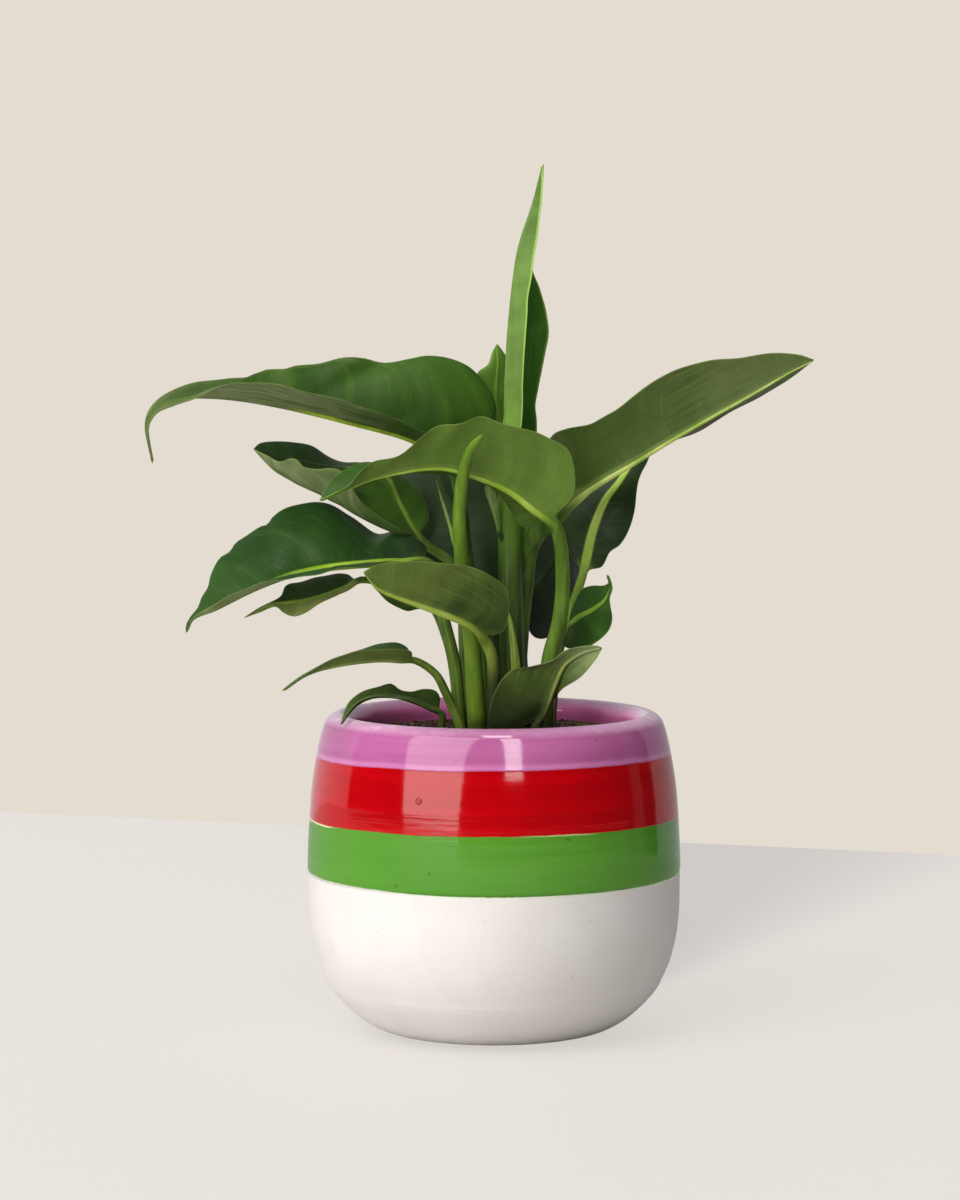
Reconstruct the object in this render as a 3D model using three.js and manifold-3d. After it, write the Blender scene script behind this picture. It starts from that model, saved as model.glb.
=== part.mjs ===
// A young dieffenbachia in a round-bellied, banded ceramic pot.
// Millimetres, +Z up, +X to the right and +Y to the back, with the origin at the middle of the pot's foot.
import * as THREE from "three";
import { mergeVertices } from "three/addons/utils/BufferGeometryUtils.js";
import Module from "manifold-3d";

const wasm = await Module();
wasm.setup();

// ---- driving dimensions ----
const POT_RADIUS = 80; // at the belly
const POT_HEIGHT = 137; // foot to the crest of the lip
const FOOT_RADIUS = 38;
const MOUTH_RADIUS = 61;
const LIP_RADIUS = 66.5; // where the lip is highest
const FLOOR = 9; // thickness of the pot's floor
const SHOULDER = 20; // below this the pot's inner wall slopes in to its floor
const POT_SEGMENTS = 48;
const OUTLINE_STEPS = 16; // rings on the pot's outside

const SOIL_TOP = 128; // at the wall
const SOIL_CROWN = 1.4; // how much higher the soil stands in the middle
const CROWN_BEND = [30, 0.8]; // a radius, and the share of the crown that is left there
const SOIL_GAP = 0.35; // between the soil and the pot
const ROOT_DEPTH = 13; // how deep a stalk stands in the soil
const HOLE_GAP = 0.4; // between a stalk and its hole
const HOLE_SIDES = 14;
const HOLE_DEPTH = 25; // from the stalk's foot to well above the soil
const COLLAR = 2; // a stalk leaves the soil straight up, for this far

const BLADE_THICKNESS = 0.7;
const TIP_RADIUS = 0.45; // of the midrib at the leaf's tip
const STALK_STEPS = 6;
const BLADE_STEPS = 13;
const BLEND = 0.12; // the share of a blade over which its stalk spreads into it
const BULGE = 0.16; // how far each half of a blade bulges upward, per width
const CREASE = 0.625; // where a rolled margin is creased, as a share of the skin's width
const RIB_REACH = 1.3; // how far out the lines beside the rib lie, in its radii
const RIB_SHARE = 0.35; // and at most this share of the half blade
const RIB_DEPTH = 1.5; // how deep the rib stands below the blade, in its radii
const STEADY = [0.2, 0.9]; // the shares of a blade between which its own width turns the skin

// ---- colours and finishes ----
const glaze = new THREE.MeshStandardMaterial({ color: 0xc46aa4, roughness: 0.15, metalness: 0 });
const earth = new THREE.MeshStandardMaterial({ color: 0x33241a, roughness: 0.95, metalness: 0 });
const blade = new THREE.MeshStandardMaterial({ color: 0x2f5a1c, roughness: 0.45, metalness: 0 });

// ---- the pot's outline, from the foot up: [radius, height] ----
const OUTSIDE = [
  [FOOT_RADIUS, 0],
  [50, 2.5],
  [58, 6.9],
  [65.4, 13.6],
  [70, 19],
  [75.2, 29],
  [78.3, 40],
  [79.7, 51],
  [POT_RADIUS, 62],
  [79.9, 76],
  [79.2, 91],
  [78, 106],
  [75.7, 120],
  [73.2, 130.5],
  [71.3, 134.6],
];
const LIP = [
  [LIP_RADIUS + 2, POT_HEIGHT - 0.4],
  [LIP_RADIUS, POT_HEIGHT],
  [63.4, 136],
];
const INSIDE = [
  [MOUTH_RADIUS, 132.6],
  [MOUTH_RADIUS + 0.4, 127],
  [66.5, 110],
  [70.4, 88],
  [71.6, 62],
  [68.8, 36],
  [61, 19],
  [46, FLOOR + 1.6],
  [32, FLOOR],
];

// ---- the leaves ----
// Each leaf is drawn by the lines that it grows along. stalk runs from the soil to the blade, rib goes on
// from there to the tip, and left and right are the blade's edges, as seen along the rib with the upper side
// up. leftFold is the crease of a margin that is rolled up. radius is the stalk's at the soil and at the
// blade, then the rib's. wave is [height, number] of the ripples along the edges.
const LEAVES = {
  leaf_spear: {
    radius: [5.8, 5.1, 2],
    wave: [0.3, 4],
    stalk: [[7, -3], [8, -3, 145], [7.5, -2, 173], [6.8, 0, 220]],
    rib: [[6.5, 1, 248], [6.5, 1, 279], [7.9, 0, 307.5], [11.3, 0, 334.5], [17.2, 0, 354], [21, 0, 370]],
    left: [[11, -7, 256], [12.3, -10, 279], [13.2, -10, 297], [14.4, -9, 312], [16.2, -8, 326],
      [18.3, -6, 340], [20, -4, 353]],
    right: [[16.7, 6, 251], [18.3, 7, 261], [17.7, 8, 268], [19, 8.5, 276], [21.2, 9, 285.5], [22.9, 9, 294],
      [22.9, 8, 303], [19.7, 6, 317], [16.4, 4, 326], [16.8, 3, 339]],
  },
  leaf_bud: {
    radius: [2.2, 1.6],
    wave: [0.3, 3],
    stalk: [[6, 17], [7, 16, 150], [7, 16, 200]],
    rib: [[3.5, 18, 251], [1, 20, 266], [1, 21, 275], [1.6, 22, 284], [1.3, 23, 294]],
    left: [[-4.3, 17, 259], [-9, 17, 271], [-7, 18, 281.5], [-2.6, 20, 285], [-0.9, 22, 290]],
    right: [[7.8, 25, 259], [9.5, 27, 271], [7.6, 27, 282], [5.2, 25, 288.5]],
  },
  leaf_upper_left: {
    radius: [3.2, 2.4],
    wave: [0.8, 7],
    stalk: [[-1, 2], [-5, 3, 168], [-11, 2, 200], [-14.5, 1, 228]],
    rib: [[-20, -1, 245], [-34, -4, 254.2], [-61, -10, 262], [-88, -16, 268.6], [-111, -22, 272.3],
      [-126, -26, 272.8], [-134, -28, 271.8], [-140.6, -30, 268.4], [-145.1, -31, 260.8],
      [-142.9, -31, 244.5]],
    left: [[-23, -13, 252.6], [-34, -22, 259.4], [-48, -30, 265.8], [-64, -35.5, 271.2], [-80, -38, 275.2],
      [-96, -38, 278.6], [-112, -36, 277.4], [-124, -34, 272.2], [-134.5, -32.5, 268.2],
      [-140.4, -32, 265.8], [-144, -32, 260.4]],
    right: [[-7, 9, 252], [1, 12, 266], [-10, 12, 284], [-27, 10, 288.8], [-37, 8, 287.4], [-47.4, 6, 286.2],
      [-56, 3, 288], [-64.4, 1, 288.3], [-75.6, -3, 286], [-84, -6, 284.9], [-88.5, -8, 283.5],
      [-97, -11, 283.6], [-101.3, -13, 281.1], [-113, -17, 279.4], [-126, -22, 278.1], [-136, -26, 274.6],
      [-143, -29, 268.8], [-145.8, -30, 262.4]],
  },
  leaf_front: {
    radius: [3.9, 2.8],
    wave: [0.7, 6],
    stalk: [[22, -7], [23.6, -9, 160], [27.8, -10, 177], [29, -11, 198]],
    rib: [[26, -14, 217], [16, -18, 226], [5, -22, 234.3], [-8.4, -27, 240], [-22.6, -32, 243.5],
      [-39, -38, 242], [-51.7, -42, 239], [-62, -46, 234.6], [-72.5, -50, 230]],
    left: [[33, -20, 228], [33.7, -26, 241], [30.6, -30, 250.6], [21, -33, 256], [13.8, -35, 259],
      [3, -38, 261.4], [-5.4, -40, 264.4], [-14, -42, 262], [-22.5, -43, 261], [-31, -44, 255.4],
      [-40.4, -45, 248], [-50.6, -48, 246], [-56, -50, 241.5], [-60.5, -50, 236]],
    right: [[19.5, -10, 217.5], [13.7, -9.5, 216], [9, -9.5, 220], [4, -9, 228], [-2, -8, 234],
      [-15.3, -10, 238.5], [-27, -16, 239.5], [-37.5, -22, 240.7], [-48, -27, 244.2], [-56.5, -32, 245],
      [-63.4, -38, 241.4], [-68.6, -44, 237]],
  },
  leaf_upper_right: {
    radius: [4, 5.2, 2.4],
    wave: [0.6, 6],
    stalk: [[9, 9], [10, 9.4, 160], [12.2, 9, 190], [15.4, 5.5, 210]],
    rib: [[28, 0, 224], [45, -8, 236.6], [55.6, -13, 243.2], [74.3, -20, 254.8], [88, -25, 262.8],
      [106.5, -31, 273.4], [123.7, -36, 283.5], [132.7, -39, 288]],
    left: [[35, 9, 232], [46, 14, 239], [63, 14, 248.4], [84, 8, 255], [94, 2, 261], [104, -6, 267.4],
      [114, -14, 273], [126, -29, 281.8]],
    right: [[23, -3, 240], [21.8, -6, 250], [25, -8.5, 256], [30, -10.5, 258.4], [41.5, -15, 261],
      [50.7, -19, 266.7], [63, -23, 275.7], [74, -27, 283], [87.6, -31, 287], [103, -35, 289],
      [118, -38, 290.8], [127, -39, 290]],
  },
  leaf_furled: {
    radius: [4.2, 2.8],
    stalk: [[-7, -11], [-8.5, -14, 154], [-10, -18, 174], [-13.5, -24, 201.5]],
    rib: [[-14.7, -29, 221], [-12.8, -35, 241], [-9.4, -40, 251.5], [-4.5, -45, 257]],
  },
  leaf_back: {
    radius: [2.9, 2.2],
    wave: [1, 5],
    stalk: [[-1, 12], [-2, 14, 155]],
    rib: [[-8.5, 16, 183], [-13.4, 20, 205], [-17.8, 25, 221], [-23.5, 32, 234.7], [-29, 42, 243.9],
      [-32.6, 55, 248.7], [-34.7, 72, 245.4]],
    left: [[-20, 16, 187], [-31, 19, 199], [-36, 26, 212], [-38.5, 34, 225], [-39.6, 42, 236],
      [-41.5, 53, 241.6], [-40, 65, 244]],
    right: [[0, 19, 188], [5, 23, 200], [6, 29, 215], [3, 36, 228], [-5, 46, 239], [-15, 56, 245],
      [-25.7, 66, 247.3]],
  },
  leaf_mid_left: {
    radius: [2.7, 2],
    wave: [0.5, 6],
    stalk: [[-10.5, 9.5], [-12.5, 10.5, 160], [-17, 11, 198]],
    rib: [[-31, 12, 209.5], [-40, 10, 225], [-45.8, 7, 237], [-55, 3, 240.8], [-68, -1, 241.6],
      [-80.5, -6, 244], [-91, -10, 247], [-101.6, -14, 250]],
    leftFold: [[-38, 4, 212], [-48, 0, 216.6], [-59, -5, 223], [-71.4, -9, 229], [-80.2, -12, 234],
      [-92, -15, 240.4]],
    left: [[-39, 1, 215], [-49.4, -5, 221.5], [-58, -11, 230], [-64.5, -15, 241], [-75, -17, 241.8],
      [-80.4, -18, 242.9], [-83, -18.6, 245.7], [-86, -19, 246.2], [-90, -19, 244.9], [-95.5, -17.5, 247.4]],
    right: [[-27.5, 16, 215], [-31.5, 20.5, 230], [-40.5, 19, 238.8], [-52.6, 15, 242.4], [-65, 10, 243.5],
      [-78.3, 3, 250.7], [-87, -2, 252.4], [-99, -10, 252.3]],
  },
  leaf_big_left: {
    radius: [3, 2.4],
    wave: [0.8, 7],
    stalk: [[-14, -1], [-15, -3, 142], [-16.2, -5, 156], [-21, -9, 177]],
    rib: [[-27, -14, 201], [-39.7, -19, 203], [-56, -25, 202.6], [-69, -30, 201.4], [-79, -33, 199.8],
      [-87, -37, 198], [-94, -41, 195.6], [-102, -45, 192.2], [-109.5, -47.5, 188.4], [-117, -48.5, 184.6],
      [-122.5, -48.5, 182.6], [-125.8, -48.5, 180.4], [-128, -49, 175]],
    left: [[-35, -25, 201.2], [-46, -33, 201.7], [-55, -39, 201.8], [-62.7, -44, 201.8], [-68, -47.5, 200.8],
      [-74, -50, 199.3], [-84, -53, 198], [-90, -54.5, 197.4], [-97, -55, 196], [-103, -55, 193.8],
      [-109, -54, 191.4], [-115, -52.5, 187.6], [-119.6, -51, 185.2], [-124.4, -50, 181.6]],
    right: [[-27.5, 1, 206], [-33, 4, 211], [-37.7, 5, 212.6], [-43.3, 5, 214], [-50, 4, 213],
      [-61.5, 1, 221], [-69.9, -2, 226.4], [-81, -6, 226.4], [-88, -10, 225.2], [-93.5, -13, 221.4],
      [-96, -15, 218], [-98.6, -16, 217.3], [-105, -20, 213.2], [-108.8, -22, 210.6], [-111.2, -24, 206.8],
      [-114.8, -27, 204.8], [-116.6, -28.5, 202.6], [-118.8, -33, 198], [-119.6, -37, 193.4],
      [-122, -41, 189], [-123.4, -44.5, 185], [-125.8, -47, 182.2], [-128, -48.5, 178.3]],
  },
  leaf_low_front: {
    radius: [2.9, 2.4],
    wave: [0.5, 5],
    stalk: [[-0.4, -17.2], [-0.4, -18.4, 154.6], [-1.2, -19.8, 163.2]],
    rib: [[-4.4, -22, 170], [-10, -27, 176.6], [-20.5, -33, 181.6], [-31, -38, 185.8], [-40, -43, 189.3],
      [-48.6, -47, 193.6], [-54.3, -50, 200.5]],
    left: [[1.8, -24, 170.8], [5.6, -28, 178.4], [6.4, -31, 186.5], [5.4, -33.5, 192], [-1.7, -38, 198.3],
      [-10, -41, 202], [-18.3, -44, 203.8], [-28.7, -47, 204.6], [-39, -49, 204.6], [-49, -50, 203.4]],
    right: [[-10, -25, 175.5], [-19, -29, 179.5], [-27, -30, 182.5], [-31.4, -31, 184], [-36, -33, 183],
      [-40.2, -36, 184.5], [-45, -40, 187.8], [-49, -45, 192.6]],
  },
  leaf_under_left: {
    radius: [2, 1.5],
    wave: [0.4, 4],
    stalk: [[-16, 8], [-17, 7, 150], [-20.5, 5, 168], [-28, 2, 184], [-42, -5, 190.6]],
    rib: [[-56.4, -12, 194.5], [-63, -15, 191.3], [-69.6, -18, 189], [-78.8, -22, 186.7],
      [-88, -26, 185.7], [-94, -29, 185.5], [-99, -31, 182.8], [-105, -33, 180]],
    left: [[-63, -19, 190], [-72.4, -25, 186], [-79.4, -28, 181.7], [-84.3, -30, 180.4], [-88.5, -31, 182],
      [-91.5, -30.5, 184.5], [-98, -31.5, 182.3]],
    right: [[-61, -8, 196.2], [-66.7, -8, 197], [-74, -10, 195.6], [-82, -14, 194], [-88, -19, 192.4],
      [-89.7, -24, 188.5], [-93, -28, 186.4], [-99, -30.5, 183.8]],
  },
  leaf_right_back: {
    radius: [2.2, 1.9],
    wave: [0.8, 5],
    stalk: [[21, 10], [28, 13, 163], [33.5, 15, 180]],
    rib: [[38, 15, 194], [42.7, 16, 214], [48, 19, 226.7], [53.7, 23, 234], [61.7, 29, 246],
      [70, 36, 260.7]],
    left: [[34, 16, 201], [29.4, 19, 213.7], [28.6, 24, 224.3], [34, 28, 235], [46, 32, 245.6],
      [59, 35, 255.5]],
    right: [[46, 15, 197.7], [50, 16, 204.5], [54.3, 16, 207.5], [59.6, 19, 218], [61.5, 23, 229],
      [63.4, 26, 237], [66.4, 29, 243.2], [70, 33, 252]],
  },
  leaf_low_back: {
    radius: [2.2, 1.8],
    wave: [0.6, 4],
    stalk: [[14, 20], [12.5, 22, 160]],
    rib: [[12, 24, 180], [22, 32, 192], [29, 42, 203], [34.5, 54, 214], [38, 66, 220.5]],
    left: [[7.5, 28, 191], [8.6, 34, 208], [12.4, 43, 219], [25, 56, 223]],
    right: [[16.5, 26, 167.8], [22.5, 32, 165.8], [29.5, 40, 170], [35.6, 50, 184], [40, 60, 202.5]],
  },
  leaf_small_right: {
    radius: [2.1, 1.6],
    wave: [0.5, 3],
    stalk: [[24.5, 2], [26.5, 4, 152]],
    rib: [[31, 6, 172], [36, 5, 177], [42, 2, 180.5], [47.5, -3, 185.5], [49.3, -6, 191],
      [47.8, -8, 196.5]],
    left: [[33.5, 7, 181], [37.5, 8, 189], [42, 6, 190.6], [46.6, 2, 191], [49, -3, 193]],
    right: [[30, 5, 164.8], [39, 0, 164.5], [47.2, -6, 170.5], [50.2, -10, 178], [49, -9.5, 186],
      [50.3, -8, 191]],
  },
  leaf_low_right: {
    radius: [2.6, 2.2],
    wave: [0.4, 4],
    stalk: [[17.5, -16]],
    rib: [[18.6, -17, 134], [22, -20, 142.2], [25.7, -23, 151.4], [30.3, -27, 160.6], [38, -31, 165.5],
      [45.2, -34, 167.5]],
    left: [[22.5, -17.5, 139], [25.7, -20, 145], [28.6, -24, 149], [36.5, -29, 155], [42.3, -33, 162.3]],
    right: [[9.5, -19.6, 131.2], [1.5, -22.6, 132.2], [-2.2, -23.8, 137], [-0.8, -24.4, 145],
      [2.6, -25, 152.6], [7, -25.6, 157], [14, -27, 158.6], [24, -30, 161.8], [29, -32, 166], [36, -33, 168],
      [43, -34, 168.5]],
  },
  leaf_sprig_left: {
    radius: [2.4, 1.6],
    wave: [0.3, 4],
    stalk: [[-13.9, -12.6], [-17.6, -14.5, 140.5], [-20.6, -17, 147.5], [-24.8, -21, 155.5]],
    rib: [[-33, -25.5, 161.4], [-40.3, -30, 162.6], [-47.3, -33, 163.1], [-62.6, -40, 161.8],
      [-77.7, -46, 158], [-88.3, -50, 151]],
    left: [[-35, -33, 166], [-41.3, -38, 167.4], [-51, -41, 167.3], [-57, -43, 166.8], [-62.4, -45, 165.6],
      [-72.2, -48, 161.6]],
    right: [[-36, -20, 165.8], [-40.5, -20, 168.4], [-48.4, -23, 168.3], [-55.5, -27, 166.5],
      [-63, -32, 163.8], [-71, -39, 160.6]],
  },
  leaf_rim_left: {
    radius: [1.9, 1.5],
    wave: [0.4, 3],
    stalk: [[-22.5, -4.5]],
    rib: [[-22.2, -7, 136.5], [-27, -10, 140], [-33.5, -14, 143.3], [-39.7, -18, 145.6], [-45, -22, 146.4],
      [-51.3, -26, 146.4], [-57.3, -30.5, 144], [-61, -34, 140.4], [-64.5, -38, 135.5]],
    left: [[-27, -15, 139.4], [-36, -22, 144.3], [-44.5, -27, 146], [-50.5, -31, 146.6], [-56.6, -34, 145],
      [-61, -37, 140.8]],
    right: [[-22.5, -4, 142], [-24.7, -5, 146.5], [-30, -8, 147.6], [-35, -12, 147], [-40, -16, 148.1],
      [-43.6, -17, 151], [-49.3, -21, 150], [-57, -26, 147.6], [-61.5, -31, 143.8]],
  },
};

// ---- shared tools ----
// three.js geometry as a solid that can be cut
function solidOf(geometry) {
  const bare = geometry.index ? geometry : geometry.clone();
  bare.deleteAttribute("normal");
  bare.deleteAttribute("uv");
  const merged = mergeVertices(bare, 1e-3);
  const mesh = new wasm.Mesh({
    numProp: 3,
    vertProperties: merged.attributes.position.array,
    triVerts: new Uint32Array(merged.index.array),
  });
  return new wasm.Manifold(mesh);
}

function geometryOf(solid) {
  const { vertProperties, triVerts } = solid.getMesh();
  const geometry = new THREE.BufferGeometry();
  geometry.setAttribute("position", new THREE.BufferAttribute(vertProperties, 3));
  geometry.setIndex(new THREE.BufferAttribute(triVerts, 1));
  geometry.computeVertexNormals();
  return geometry;
}

// a solid of revolution about the Z axis
function turned(profile, segments) {
  const points = profile.map(([radius, height]) => new THREE.Vector2(radius, height));
  return new THREE.LatheGeometry(points, segments).rotateX(Math.PI / 2);
}

// a smooth line through points, and the place on it at a share t of the length between two of them
function smoothLine(points) {
  return new THREE.CatmullRomCurve3(points, false, "centripetal");
}

function stretch(curve, from, to) {
  const fine = 24;
  const count = (curve.points.length - 1) * fine;
  const lengths = curve.getLengths(count);
  const start = lengths[from * fine];
  const end = lengths[to * fine];
  return (t) => curve.getPointAt((start + (end - start) * t) / lengths[count]);
}

const vector = (numbers) => new THREE.Vector3(...numbers);
const mix = (a, b, share) => a.clone().lerp(b, share);

// ---- the pot ----
function potGeometry() {
  const curve = new THREE.SplineCurve(OUTSIDE.map(([r, z]) => new THREE.Vector2(r, z)));
  const outside = curve.getPoints(OUTLINE_STEPS).map((p) => [p.x, p.y]);
  const profile = [[0, 0], ...outside, ...LIP, ...INSIDE, [0, FLOOR]];
  return turned(profile, POT_SEGMENTS);
}

// ---- the soil, with a plain hole for each stalk ----
function soilGeometry() {
  const wall = INSIDE.filter(([, height]) => height < SOIL_TOP).reverse();
  const profile = [
    [0, FLOOR + SOIL_GAP],
    ...wall.map(([r, z]) => [r - SOIL_GAP, z < SHOULDER ? z + SOIL_GAP : z]),
    [MOUTH_RADIUS - SOIL_GAP, SOIL_TOP],
    [CROWN_BEND[0], SOIL_TOP + SOIL_CROWN * CROWN_BEND[1]],
    [0, SOIL_TOP + SOIL_CROWN],
  ];
  let soil = solidOf(turned(profile, POT_SEGMENTS));
  for (const { stalk, radius } of Object.values(LEAVES)) {
    const [x, y] = stalk[0];
    const reach = radius[0] + HOLE_GAP;
    const hole = new THREE.CylinderGeometry(reach, reach, HOLE_DEPTH, HOLE_SIDES).rotateX(Math.PI / 2);
    hole.translate(x, y, SOIL_TOP - ROOT_DEPTH - HOLE_GAP + HOLE_DEPTH / 2);
    soil = soil.subtract(solidOf(hole));
  }
  return geometryOf(soil);
}

// ---- a leaf ----
// COLUMNS are the lengthwise lines of its skin, from the left edge over the rib to the right edge: the share
// of the way from the rib to the edge, or RIB_SIDE for the one beside the rib.
const RIB_SIDE = -1;
const COLUMNS = [1, 0.55, RIB_SIDE, 0, RIB_SIDE, 0.55, 1];
const MIDDLE = 3;

// the place on one half of the blade, a share of the way from the rib to the edge: over the crease where
// there is one, and else bulging a little as a leaf does
function acrossHalf(rib, fold, edge, share, up) {
  if (fold && share <= CREASE) return mix(rib, fold, share / CREASE);
  if (fold) return mix(fold, edge, (share - CREASE) / (1 - CREASE));
  const bulge = BULGE * rib.distanceTo(edge) * share * (1 - share);
  return mix(rib, edge, share).addScaledVector(up, bulge);
}

function leafGeometry({ radius, wave = [0, 1], stalk, rib, left, right, leftFold }) {
  const ribRadius = radius[2] ?? radius[1];
  const [x, y] = stalk[0];
  const foot = [x, y, SOIL_TOP - ROOT_DEPTH];
  const collar = [x, y, SOIL_TOP + COLLAR];
  const spine = smoothLine([foot, collar, ...stalk.slice(1), ...rib].map(vector));
  const bladeAt = stalk.length + 1;
  const alongStalk = stretch(spine, 1, bladeAt);
  const alongRib = stretch(spine, bladeAt, spine.points.length - 1);
  const tip = vector(rib.at(-1));
  const edgeLine = (points) => {
    const curve = smoothLine([rib[0], ...points, rib.at(-1)].map(vector));
    return stretch(curve, 0, curve.points.length - 1);
  };
  const edges = left && [edgeLine(left), edgeLine(right)];
  const fold = leftFold && edgeLine(leftFold);

  // stations: centre, radius of the stalk or rib, and the share t of the blade, below 0 on the stalk
  const stations = [{ at: vector(foot), reach: radius[0], t: -1 }];
  for (let i = 0; i < STALK_STEPS; i++) {
    const s = i / STALK_STEPS;
    const reach = radius[0] + (radius[1] - radius[0]) * s;
    stations.push({ at: alongStalk(s), reach, t: -1 });
  }
  for (let i = 0; i < BLADE_STEPS; i++) {
    const t = i / BLADE_STEPS;
    const taper = left ? 1 - t : Math.sqrt(1 - t * t);
    const slim = TIP_RADIUS + (ribRadius - TIP_RADIUS) * taper;
    const spread = (radius[1] - ribRadius) * Math.max(1 - t / BLEND, 0);
    stations.push({ at: alongRib(t), reach: slim + spread, t });
  }
  const centres = stations.map((station) => station.at);
  centres.push(tip);

  // the direction from left to right across each station
  const acrossAt = (t) => (edges ? edges[1](t).sub(edges[0](t)) : new THREE.Vector3(1, 0, 0));
  const first = acrossAt(STEADY[0]).normalize();
  const rings = stations.map(({ at, reach, t }, i) => {
    const along = centres[i + 1].clone().sub(centres[Math.max(i - 1, 0)]).normalize();
    if (i < 2) along.set(0, 0, 1);
    const across = t > STEADY[0] ? acrossAt(Math.min(t, STEADY[1])).normalize() : first.clone();
    across.addScaledVector(along, -across.dot(along)).normalize();
    const up = across.clone().cross(along).normalize();
    const round = (angle) => {
      const sideways = at.clone().addScaledVector(across, Math.cos(angle) * reach);
      return sideways.addScaledVector(up, Math.sin(angle) * reach);
    };
    const count = COLUMNS.length;
    const angles = COLUMNS.map((_, j) => Math.PI * (1 - (j + 0.5) / count));
    const top = angles.map(round);
    const bottom = angles.map((angle) => round(-angle));
    if (t <= 0 || !edges) return { top, bottom };

    const blend = Math.min(t / BLEND, 1);
    const ripple = wave[0] * Math.sin(2 * Math.PI * wave[1] * t) * Math.sin(Math.PI * t);
    const middle = COLUMNS.map((column, j) => {
      if (j === MIDDLE) return at.clone();
      const side = j < MIDDLE ? 0 : 1;
      const edge = edges[side](t).addScaledVector(up, side ? ripple : -ripple);
      const crease = side === 0 && fold ? fold(t) : null;
      const beside = Math.min((RIB_REACH * reach) / at.distanceTo(edge), RIB_SHARE);
      const share = column === RIB_SIDE ? beside : column;
      return acrossHalf(at, crease, edge, share, up);
    });
    // each line's own upward direction, square to the skin there, which a rolled margin turns over
    const upward = middle.map((point, j) => {
      const sideways = middle[Math.min(j + 1, count - 1)].clone().sub(middle[Math.max(j - 1, 0)]);
      const normal = sideways.cross(along).normalize();
      const rolled = fold && j < 2;
      return normal.dot(up) < 0 && !rolled ? normal.negate() : normal;
    });
    const half = BLADE_THICKNESS / 2;
    return {
      top: top.map((p, j) => mix(p, middle[j].clone().addScaledVector(upward[j], half), blend)),
      bottom: bottom.map((p, j) => {
        const depth = j === MIDDLE ? Math.max(half, RIB_DEPTH * reach) : half;
        return mix(p, middle[j].clone().addScaledVector(upward[j], -depth), blend);
      }),
    };
  });
  return skinOf(rings, tip);
}

// the closed skin over the rings: upper side, underside, the two edges, the foot and the tip
function skinOf(rings, tip) {
  const count = COLUMNS.length;
  const ring = 2 * count;
  const points = rings.flatMap(({ top, bottom }) => [...top, ...bottom]);
  const triangles = [];
  const quad = (a, b, c, d) => triangles.push(a, b, c, a, c, d);
  const upper = [...Array(count).keys()];
  const around = [...upper, ...upper.map((j) => ring - 1 - j)];
  for (let i = 0; i + 1 < rings.length; i++) {
    const here = i * ring;
    const next = here + ring;
    for (let j = 0; j + 1 < count; j++) {
      quad(here + j, here + j + 1, next + j + 1, next + j);
      const low = count + j;
      triangles.push(here + low, next + low + 1, here + low + 1, here + low, next + low, next + low + 1);
    }
    quad(here + count, here, next, next + count);
    quad(here + count - 1, here + ring - 1, next + ring - 1, next + count - 1);
  }
  const last = (rings.length - 1) * ring;
  const end = points.push(tip) - 1;
  const start = points.push(rings[0].top[0].clone().lerp(rings[0].bottom[count - 1], 0.5)) - 1;
  around.forEach((j, k) => {
    const after = around[(k + 1) % ring];
    triangles.push(last + j, last + after, end);
    triangles.push(after, j, start);
  });
  const geometry = new THREE.BufferGeometry().setFromPoints(points);
  geometry.setIndex(triangles);
  geometry.computeVertexNormals();
  return geometry;
}

// ---- the whole thing ----
function piece(name, geometry, material) {
  const mesh = new THREE.Mesh(geometry, material);
  mesh.name = name;
  return mesh;
}

const plant = new THREE.Group();
for (const [name, leaf] of Object.entries(LEAVES)) {
  plant.add(piece(name, leafGeometry(leaf), blade));
}
const pottedPlant = new THREE.Group();
pottedPlant.add(piece("pot", potGeometry(), glaze), piece("soil", soilGeometry(), earth), plant);

export default pottedPlant;
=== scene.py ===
"""A young dieffenbachia in a round-bellied ceramic pot with three glazed bands.

Lengths in the tables are millimetres, and MM turns them into the scene's metres.
+X is to the right, +Y to the back and +Z up, with the origin at the middle of the pot's foot.
"""

import math
import random
from functools import partial, reduce
from typing import NamedTuple

import bmesh
import bpy
import numpy as np
from mathutils import Matrix, Vector, noise


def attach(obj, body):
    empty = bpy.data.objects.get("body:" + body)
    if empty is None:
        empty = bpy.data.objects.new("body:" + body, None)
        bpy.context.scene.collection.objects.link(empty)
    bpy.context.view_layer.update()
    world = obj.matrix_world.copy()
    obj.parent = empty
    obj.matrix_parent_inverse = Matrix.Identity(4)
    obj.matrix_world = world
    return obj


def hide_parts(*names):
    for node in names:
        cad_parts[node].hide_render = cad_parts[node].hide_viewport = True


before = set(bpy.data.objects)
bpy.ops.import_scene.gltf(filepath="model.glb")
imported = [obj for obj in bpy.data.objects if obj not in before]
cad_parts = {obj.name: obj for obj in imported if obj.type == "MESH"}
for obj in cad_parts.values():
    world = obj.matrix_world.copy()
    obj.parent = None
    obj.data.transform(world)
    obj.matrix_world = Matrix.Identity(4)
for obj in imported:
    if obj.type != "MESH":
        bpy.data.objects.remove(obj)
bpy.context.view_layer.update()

MM = 0.001

# ---- driving dimensions ----
POT_RADIUS = 80
POT_HEIGHT = 137
LIP_RADIUS = 66.5
MOUTH_RADIUS = 61
FLOOR = 9
SOIL_TOP = 128
SOIL_CROWN = 1.4  # how much higher the soil is in its middle
ROOT_DEPTH = 13  # how deep a stalk stands in the soil
COLLAR = 2  # and how high above it the stalk goes straight up

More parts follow.
